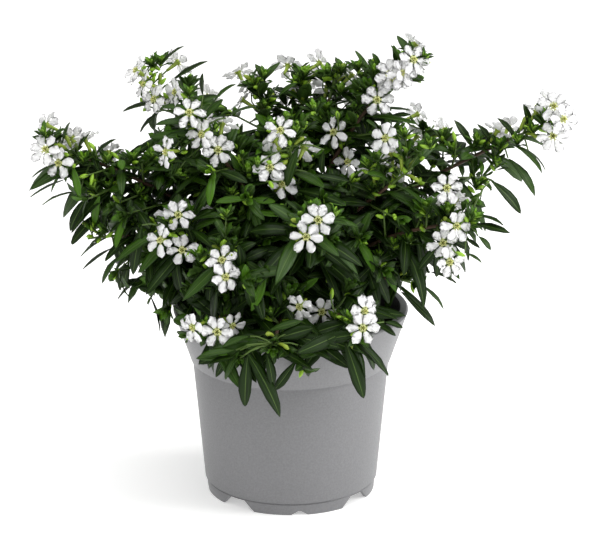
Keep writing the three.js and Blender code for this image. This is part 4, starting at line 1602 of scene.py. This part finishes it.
    def place_rear_blooms(self, shoot: Shoot, draw: Draw) -> None:
        """Seats blooms on a shoot by the solids' rule, unless it is a front or a low one.

        Args:
            shoot: The shoot.
            draw: Its seeded draw.
        """
        _, y, z = shoot.tip
        if y < -60 or z < 145 and y < 20:
            return
        spine = self.spines[shoot.name]
        look = bearing(shoot.look, 24)
        if y < 0 and look[1] < 0:
            look = look * (1, -1, 1)
        side, _ = across(spine.tangent(0.9), spine.aside)
        for i in range(max(2, shoot.blooms)):
            root = spine.at(blend(0.9, 0.7, i / 3))
            sway = (-1 if i % 2 else 1) * draw.between(0.35, 0.85)
            way = heading((look, 1), (side, sway), (UP, 0.25))
            centre = root + way * self.bloom_reach
            self.blooms.append(Bloom(root, centre, heading((way, 1), (look, 0.6)), 20 * draw()))


@dataclass
class Foliage:
    """The crown's leaves, twigs, buds and blooms as joined pieces.

    Attributes:
        crown: The grown crown.
        masses: The names of the solid foliage masses, which the old and shaded leaves stand for.
        leaf_thickness: The thickness of a leaf.
        petal_thickness: That of a petal.
        lip_radius: The radius of a calyx's mouth.
        calyx_sides: The stretches round a calyx.
        stamens: How many stamens stand in a throat.
    """

    crown: Crown
    masses: Sequence[str]
    leaf_thickness: float = 0.28
    petal_thickness: float = 0.16
    lip_radius: float = 1.65
    calyx_sides: int = 12
    stamens: int = 5

    def build(self) -> None:
        """Builds every piece."""
        crown = self.crown
        stalks = [self.stalk(bloom) for bloom in crown.blooms]
        stamens = [stamen for k, bloom in enumerate(crown.blooms) for stamen in self.stamens_of(k, bloom)]
        self.build_leaves()
        publish_lots([bent_tubes(6, MAIN_STEPS, crown.brown)], "twigs_brown", [TWIG_BROWN])
        green = bent_tubes(6, MAIN_STEPS, crown.green), bent_tubes(4, FINE_STEPS, crown.fine + stalks)
        publish_lots(green, "twigs_green", [TWIG_GREEN])
        buds = bent_tubes(6, BUD_STEPS, crown.buds, BUD_SWELL)
        publish_lots([buds], "buds", [BUD])
        tubes = bent_tubes(8, BUD_STEPS, crown.tubes, TUBE_SWELL)
        publish_lots([tubes], "closed_tubes", [CALYX])
        self.build_blooms()
        publish_lots([bent_tubes(4, FINE_STEPS, stamens)], "anthers", [ANTHER])

    def build_leaves(self) -> None:
        """Builds a piece for each tone of leaf."""
        full = blade_template(
            (-1, -0.5, -0.06, 0.06, 0.5, 1), (0, 0.1, 0.28, 0.48, 0.68, 0.84, 0.94, 1), (-1, 0, 1), 2
        )
        small = blade_template((-1, -0.12, 0.12, 1), (0, 0.25, 0.5, 0.78, 1), (-1, 0, 1), 1)
        for tone in Tone:
            large = (full, self.crown.leaves[tone], BladeForm.LEAF)
            kinds = (large, (small, self.crown.tips[tone], BladeForm.TIP))
            lots = [bent_blades(*kind, self.leaf_thickness) for kind in kinds if kind[1]]
            piece = publish_lots(lots, f"leaves_{tone.name.lower()}", tone.value)
            if tone is Tone.OLD:
                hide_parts(*self.masses)

    def stalk(self, bloom: Bloom) -> Limb:
        """Bends the thin stalk between a twig and a bloom's calyx.

        Args:
            bloom: The bloom.

        Returns:
            The stalk.
        """
        base = bloom.centre - bloom.facing * CALYX_LENGTH
        bend = 0.5 * (bloom.root + base) - bloom.facing * 0.15 * np.linalg.norm(base - bloom.root)
        aside = np.cross(base - bloom.root + 1e-3, UP + (0.1, 0.2, 0))
        return Limb(rounded((bloom.root, bend, base), FINE_STEPS), BLOOM_STALK, unit(aside))

    def stamens_of(self, number: int, bloom: Bloom) -> list[Limb]:
        """Bends the thin stamens that stand out of a bloom's throat.

        Args:
            number: The bloom's number, by which they are turned.
            bloom: The bloom.

        Returns:
            The stamens.
        """
        right, up = self.frame_of(bloom)
        limbs = []
        for k in range(self.stamens):
            angle = math.radians(360 / self.stamens * k + 31 * number)
            out = right * math.cos(angle) + up * math.sin(angle)
            root = bloom.centre - bloom.facing * 1.5 + out * 0.4
            tip = bloom.centre + bloom.facing * (0.6 + 0.3 * (k % 3)) + out * 0.9
            line = rounded((root, 0.5 * (root + tip), tip), FINE_STEPS)
            limbs.append(Limb(line, (0.14, 0.3), right))
        return limbs

    def build_blooms(self) -> None:
        """Builds the petals and calyxes of every bloom."""
        rows = (0, 0.15, 0.35, 0.55, 0.75, 0.88, 0.96, 1)
        petal = blade_template((-1, -0.5, 0, 0.5, 1), rows, (-1, 0, 1), None, foot=0.1)
        blades = [blade for bloom in self.crown.blooms for blade in self.petals(bloom)]
        petals = bent_blades(petal, blades, BladeForm.PETAL, self.petal_thickness)
        publish_lots([petals], "petals", [PETAL, PETAL_CLAW, PETAL])
        calyx = self.calyx_template()
        frames = [np.array([*self.frame_of(bloom), bloom.facing]) for bloom in self.crown.blooms]
        cups = [bloom.centre + calyx.points @ own for bloom, own in zip(self.crown.blooms, frames)]
        publish_lots([(calyx, np.array(cups))], "calyxes", [CALYX, THROAT, PETAL_CLAW])

    def frame_of(self, bloom: Bloom) -> tuple[Array, Array]:
        """Returns a bloom's own right and up, across the way that it faces."""
        up = turned(unit(UP - bloom.facing * (UP @ bloom.facing)), bloom.facing, bloom.roll)
        return np.cross(up, bloom.facing), up

    def petals(self, bloom: Bloom) -> list[Blade]:
        """Returns six petals: two that stand up like ears and four that spread below.

        Args:
            bloom: The bloom.

        Returns:
            The petals as blades.
        """
        right, up = self.frame_of(bloom)
        draw = Draw(int(abs(bloom.centre @ (91.0, 57.0, 33.0)) * 10))
        blades = []
        plump = draw.between(0.84, 1.06)
        for degrees, length, width in PETAL_FAN:
            for mirror in (1, -1):
                angle = math.radians(mirror * degrees + draw.between(-9, 9))
                out = right * math.sin(angle) + up * math.cos(angle)
                petal = Blade(
                    bloom.centre + out * 0.7 * self.lip_radius - bloom.facing * 0.3,
                    heading((out, 1), (bloom.facing, draw.between(-0.1, 0.18))),
                    bloom.facing,
                    length * draw.between(0.9, 1.08),
                    width * plump * draw.between(0.9, 1.1),
                    arch=math.radians(draw.between(-18, 30)),
                    fold=draw.between(-0.3, 0.45),
                    ripple=draw.between(0.15, 0.35),
                    phase=draw(),
                    sway=draw.between(-0.08, 0.08),
                )
                blades.append(petal)
        return blades

    def calyx_template(self) -> Template:
        """Spins the calyx: a ribbed tube with six teeth round a sunken throat.

        Returns:
            A template with its mouth at height 0; material 0 is outside, 1 inside and 2 its lip.
        """
        lip = self.lip_radius
        base = -CALYX_LENGTH
        profile = (
            (0.0, base), (0.65, base + 0.25), (0.8, 0.65 * base), (0.95, 0.35 * base),
            (0.66 * lip, -1.2), (lip, 0.1), (0.7 * lip, 0.0), (0.5 * lip, -0.8), (0.0, -1.0),
        )
        bm = spun(profile, self.calyx_sides)
        for face in bm.faces:
            middle = face.calc_center_median()
            is_up = middle.z > -1.1 and face.normal.z > 0
            is_inner = is_up and math.hypot(middle.x, middle.y) < 0.68 * lip
            face.material_index = 1 if is_inner else 2 if is_up else 0
        for vert in bm.verts:
            ridge = math.cos(6 * math.atan2(vert.co.y, vert.co.x))
            if vert.co.z > 0:
                vert.co.z += 0.45 * ridge
            elif vert.co.z < -1.25:
                vert.co.xy *= 1 + 0.1 * ridge
        return Template.of(bm)


@dataclass
class WoodyFrame:
    """The short stem and its boughs, with the relief of their bark.

    Attributes:
        crown: The grown crown.
        boughs: The names of the solid boughs.
        stem_sides: The stretches round the stem.
        stem_steps: The stretches up it.
        bough_sides: The stretches round a bough.
        bough_steps: The stretches along it.
        relief: How far the bark's ridges and knots rise and sink.
    """

    crown: Crown
    boughs: Sequence[str]
    stem_sides: int = 28
    stem_steps: int = 22
    bough_sides: int = 12
    bough_steps: int = 16
    relief: float = 0.28

    def build(self) -> None:
        """Builds one joined piece that stands for the solid stem and boughs."""
        stem = tube_template(self.stem_sides, self.stem_steps)
        x, y, z = stem.points.T
        radius = np.array([stem_radius(share) for share in z])
        points = np.stack([x * radius + STEM_LEAN * z, y * radius, STEM_FOOT + z * STEM_HEIGHT], -1)
        lots = [(stem, self.rough(points, np.stack([x, y, 0 * z], -1))[None])]
        for shoot in SHOOTS:
            spine = self.crown.spines[shoot.name]
            line = spine.at(np.linspace(0, shoot.bare, self.bough_steps + 1))
            bough = Limb(line, (BOUGH_RADIUS, BOUGH_END), spine.aside)
            tube, (made,) = bent_tubes(self.bough_sides, self.bough_steps, [bough])
            middle = line[np.rint(tube.points[:, 2] * self.bough_steps).astype(int)]
            lots.append((tube, self.rough(made, unit(made - middle))[None]))
        piece = publish_lots(lots, "stem_and_boughs", [WOOD])
        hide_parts("stem", *self.boughs)

    def rough(self, points: Array, outward: Array) -> Array:
        """Raises and sinks points by the ridges of the bark.

        Args:
            points: The smooth surface.
            outward: The way out at each point.

        Returns:
            The rough surface.
        """
        ridges = [noise.noise(Vector((p[0] * 0.9, p[1] * 0.9, p[2] * 0.22))) for p in points]
        knots = [noise.noise(Vector(p * 0.45)) for p in points]
        height = self.relief * (np.array(ridges) + 0.8 * np.array(knots))
        return points + outward * height[:, None]


@dataclass
class NurseryPot:
    """The moulded pot: a tapered body, a flared collar, a rounded lip and a broken foot ring.

    Attributes:
        segments: The stretches round it.
        rounding: The radius of its edges.
        groove: The depth of the groove under its collar.
        cuts: The gaps and the notches of its foot ring: the bearing of the first, half its width at
            the top and at the ground, and its height.
        drain_radius: The radius of a drain hole.
        drain_place: How far a drain hole is from the middle.
    """

    segments: int = 144
    rounding: float = 0.3
    groove: float = 0.15
    cuts: tuple[tuple[float, float, float, float], ...] = ((-39, 4.6, 10, 5.4), (6, 0.7, 4.4, 2.2))
    drain_radius: float = 4.0
    drain_place: float = 27.0

    def profile(self) -> list[tuple[float, float]]:
        """Returns the wall's outline, as radius and height, from the pad's middle round to the floor."""
        under_collar = COLLAR_RADIUS - COLLAR_STEP
        inner_floor = FLOOR_HEIGHT + FLOOR_THICKNESS
        inner_foot = BODY_FOOT_RADIUS - WALL
        inner_collar = under_collar - WALL
        return [
            (0, 0), (PAD_RADIUS, 0), (PAD_RADIUS + 1.5, FLOOR_HEIGHT),
            (FOOT_RADIUS - FOOT_WALL, FLOOR_HEIGHT), (FOOT_RADIUS - FOOT_WALL, 0),
            (FOOT_RADIUS, 0), (FOOT_RADIUS + 0.4, FLOOR_HEIGHT - 0.2),
            (FOOT_RADIUS + 0.1, FLOOR_HEIGHT + 0.1), (FOOT_RADIUS + 0.1, FLOOR_HEIGHT + 0.4),
            (BODY_FOOT_RADIUS, FLOOR_HEIGHT + 1.1),
            (under_collar, COLLAR_HEIGHT - 1.8), (under_collar - self.groove, COLLAR_HEIGHT - 1.3),
            (under_collar - self.groove, COLLAR_HEIGHT - 0.2), (COLLAR_RADIUS, COLLAR_HEIGHT),
            (RIM_RADIUS, POT_HEIGHT - 0.9), (RIM_RADIUS - 0.9, POT_HEIGHT),
            (RIM_RADIUS - LIP_WIDTH, POT_HEIGHT), (inner_collar, COLLAR_HEIGHT - 0.6),
            (inner_foot, inner_floor), (0, inner_floor),
        ]

    def build(self) -> None:
        """Builds the pot, cuts its foot ring and drain holes, and rounds its edges."""
        shell = spun(self.profile(), self.segments)
        pot = linked("pot_blank", mesh_of(shell, "pot_blank"))
        cutters = linked("pot_cutters", mesh_of(self.cutters(), "pot_cutters"))
        cut = pot.modifiers.new("cut", "BOOLEAN")
        cut.operation, cut.object, cut.solver = "DIFFERENCE", cutters, "EXACT"
        round_off = pot.modifiers.new("round", "BEVEL")
        round_off.width, round_off.segments, round_off.limit_method = self.rounding * MM, 2, "ANGLE"
        round_off.angle_limit = math.radians(28)
        depsgraph = bpy.context.evaluated_depsgraph_get()
        mesh = bpy.data.meshes.new_from_object(pot.evaluated_get(depsgraph))
        for blank in (pot, cutters):
            bpy.data.objects.remove(blank)
        mesh.materials.clear()
        self.deal_finishes(mesh)
        piece = publish(mesh, "nursery_pot", [POT_OUTSIDE, POT_INSIDE])
        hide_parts("pot")

    def cutters(self) -> Shape:
        """Returns wedges for the foot ring's gaps and notches, and plugs for the drain holes."""
        bm = bmesh.new()
        below = -1.0
        for first, half_top, half_bottom, height in self.cuts:
            slope = (half_bottom - half_top) / height
            for turn in range(4):
                made = bmesh.ops.create_cube(bm, size=1)["verts"]
                for vert in made:
                    top = vert.co.z > 0
                    half = half_top if top else half_bottom - below * slope
                    vert.co = (
                        math.copysign(half, vert.co.x),
                        -FOOT_RADIUS + math.copysign(3.0, vert.co.y) + 0.4,
                        height if top else below,
                    )
                self.turn_round(bm, made, first + 90 * turn)
        radius, notches_start = self.drain_radius, self.cuts[1][0]
        for turn in range(4):
            made = bmesh.ops.create_cone(
                bm, cap_ends=True, segments=24, radius1=radius, radius2=radius, depth=2 * radius
            )["verts"]
            bmesh.ops.translate(bm, vec=(0, -self.drain_place, FLOOR_HEIGHT), verts=made)
            self.turn_round(bm, made, notches_start + 90 * turn)
        return bm

    @staticmethod
    def turn_round(bm: Shape, verts: Sequence[bmesh.types.BMVert], degrees: float) -> None:
        """Turns some vertices about the pot's axis."""
        matrix = Matrix.Rotation(math.radians(degrees), 3, "Z")
        bmesh.ops.rotate(bm, verts=verts, matrix=matrix)

    @staticmethod
    def deal_finishes(mesh: bpy.types.Mesh) -> None:
        """Gives the inner wall and floor the black finish.

        Args:
            mesh: The pot's mesh.
        """
        for face in mesh.polygons:
            radius = math.hypot(face.center.x, face.center.y) / MM
            height = face.center.z / MM
            outward = face.normal.x * face.center.x + face.normal.y * face.center.y > 0
            in_wall = height > FLOOR_HEIGHT + 0.5 * FLOOR_THICKNESS and radius < outer_radius(height) - 0.6
            on_lip = height > POT_HEIGHT - 0.6
            face.material_index = int(in_wall and not outward and not on_lip)


@dataclass
class PeatBed:
    """The moist peat in the pot: a rough mound with loose crumbs on it.

    Attributes:
        rings: The stretches from the mound's edge to its middle.
        segments: The stretches round it.
        crumbs: How many loose crumbs there are.
        crumb_size: The least and the greatest half width of a crumb.
        wall_gap: The gap between the peat and the pot's inner wall.
    """

    rings: int = 44
    segments: int = 120
    crumbs: int = 900
    crumb_size: tuple[float, float] = (0.7, 2.0)
    wall_gap: float = 0.6

    def build(self) -> None:
        """Builds the mound and its crumbs."""
        bottom = FLOOR_HEIGHT + FLOOR_THICKNESS + CLEARANCE
        edge = outer_radius(SOIL_TOP) - LIP_WIDTH - 0.5
        inside = WALL + self.wall_gap
        shoulder = (COLLAR_RADIUS - COLLAR_STEP - inside, COLLAR_HEIGHT - 0.6)
        profile = [(0, bottom), (BODY_FOOT_RADIUS - inside, bottom), shoulder]
        for ring in range(self.rings, -1, -1):
            share = ring / self.rings
            profile.append((edge * share, SOIL_TOP + SOIL_MOUND * (1 - share * share)))
        bm = spun(profile, self.segments)
        for vert in bm.verts:
            if vert.co.z >= SOIL_TOP:
                vert.co.z += self.lumps(vert.co) - 0.5
        piece = publish(mesh_of(bm, "peat"), "peat", [PEAT])
        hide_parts("soil")
        self.scatter(edge)

    @staticmethod
    def lumps(place: Vector) -> float:
        """Returns the height of the peat's lumps at a place."""
        broad = noise.noise(Vector((place.x * 0.16, place.y * 0.16, 0.0)))
        fine = noise.noise(Vector((place.x * 0.55, place.y * 0.55, 3.0)))
        return 0.9 * broad + 0.7 * fine

    def scatter(self, edge: float) -> None:
        """Scatters crumbs of peat over the mound.

        Args:
            edge: The mound's radius.
        """
        bm = bmesh.new()
        bmesh.ops.create_icosphere(bm, subdivisions=1, radius=1)
        crumb = Template.of(bm)
        draw = Draw(FIRST_SEED)
        places = []
        for _ in range(self.crumbs):
            turn, share = draw.between(0, 2 * math.pi), math.sqrt(draw())
            radius = 0.96 * edge * share
            spot = Vector((math.cos(turn) * radius, math.sin(turn) * radius, 0))
            height = SOIL_TOP + SOIL_MOUND * (1 - share * share) + self.lumps(spot) - 0.3
            shape = np.array([draw.between(*self.crumb_size) * draw.between(0.6, 1.0) for _ in range(3)])
            shape[2] *= 0.7
            spin = draw.between(0, 180)
            points = [turned(point * shape, UP, spin) for point in crumb.points]
            places.append(np.array(points) + (spot.x, spot.y, height))
        publish_lots([(crumb, np.array(places))], "peat_crumbs", [PEAT_CRUMB])


@dataclass(frozen=True)
class Lamp:
    """A square soft light that looks at the crown's middle.

    Attributes:
        name: Its name.
        place: Where it stands, in metres.
        size: Its side in metres.
        power: Its power in watts.
    """

    name: str
    place: tuple[float, float, float]
    size: float
    power: float

    def hang(self) -> None:
        """Puts the light in the scene."""
        light = bpy.data.lights.new(self.name, "AREA")
        light.energy, light.size = self.power, self.size
        lamp = linked(self.name, light)
        lamp.location = self.place
        toward = Vector(CROWN_HEART) * MM - Vector(self.place)
        lamp.rotation_euler = toward.to_track_quat("-Z", "Y").to_euler()


@dataclass
class Studio:
    """A pale floor, soft lights and the photo's camera.

    Attributes:
        floor_size: The floor's side in metres.
        lamps: The lights.
        sky: How brightly the white surroundings shine.
        glow: How brightly the floor is lit from below.
    """

    floor_size: float = 12.0
    lamps: tuple[Lamp, ...] = (
        Lamp("key", (2.2, -0.3, 1.25), 1.4, 44.0),
        Lamp("fill", (-1.1, -1.3, 0.7), 1.4, 3.8),
        Lamp("top", (0.1, -0.3, 1.7), 1.8, 26.0),
    )
    sky: float = 0.41
    glow: float = 0.4

    def build(self) -> None:
        """Builds the floor, the lights and the camera."""
        scene = bpy.context.scene
        scene.view_settings.view_transform = "Standard"
        bm = bmesh.new()
        bmesh.ops.create_grid(bm, x_segments=1, y_segments=1, size=self.floor_size / 2)
        mesh = bpy.data.meshes.new("floor")
        bm.to_mesh(mesh)
        bm.free()
        floor = linked("floor", mesh)
        # Opal acrylic with light behind it shows next to no shadow.
        table = Finish("Back-lit opal acrylic", "#f4f4f3", 0.6, 0.01, 200.0, 0.01, 5.0, ior=1.49).material()
        shader = table.node_tree.nodes["Principled BSDF"]
        shader.inputs["Emission Color"].default_value = (1, 1, 1, 1)
        shader.inputs["Emission Strength"].default_value = self.glow
        mesh.materials.append(table)
        for lamp in self.lamps:
            lamp.hang()
        world = bpy.data.worlds.new("studio")
        world.use_nodes = True
        background = world.node_tree.nodes["Background"]
        background.inputs["Color"].default_value = (1, 1, 1, 1)
        background.inputs["Strength"].default_value = self.sky
        scene.world = world
        self.camera()

    @staticmethod
    def camera() -> None:
        """Adds the photo's camera."""
        data = bpy.data.cameras.new("camera")
        data.sensor_width = SENSOR_WIDTH
        data.lens = FOCAL_PIXELS * SENSOR_WIDTH / PHOTO_WIDTH
        camera = linked("camera", data)
        camera.location = CAMERA_PLACE * MM
        camera.rotation_euler = (math.radians(90 - CAMERA_TILT), 0, 0)
        bpy.context.scene.camera = camera


def main() -> None:
    """Builds the pot, the peat, the plant and the studio."""
    logging.basicConfig(level=logging.INFO, format="%(name)s: %(message)s")
    names = sorted(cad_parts)
    masses = [name for name in names if name.startswith("foliage_")]
    boughs = [name for name in names if name.startswith("bough_")]
    NurseryPot().build()
    PeatBed().build()
    crown = Crown()
    crown.grow()
    WoodyFrame(crown, boughs).build()
    Foliage(crown, masses).build()
    Studio().build()


if __name__ == "__main__":
    main()
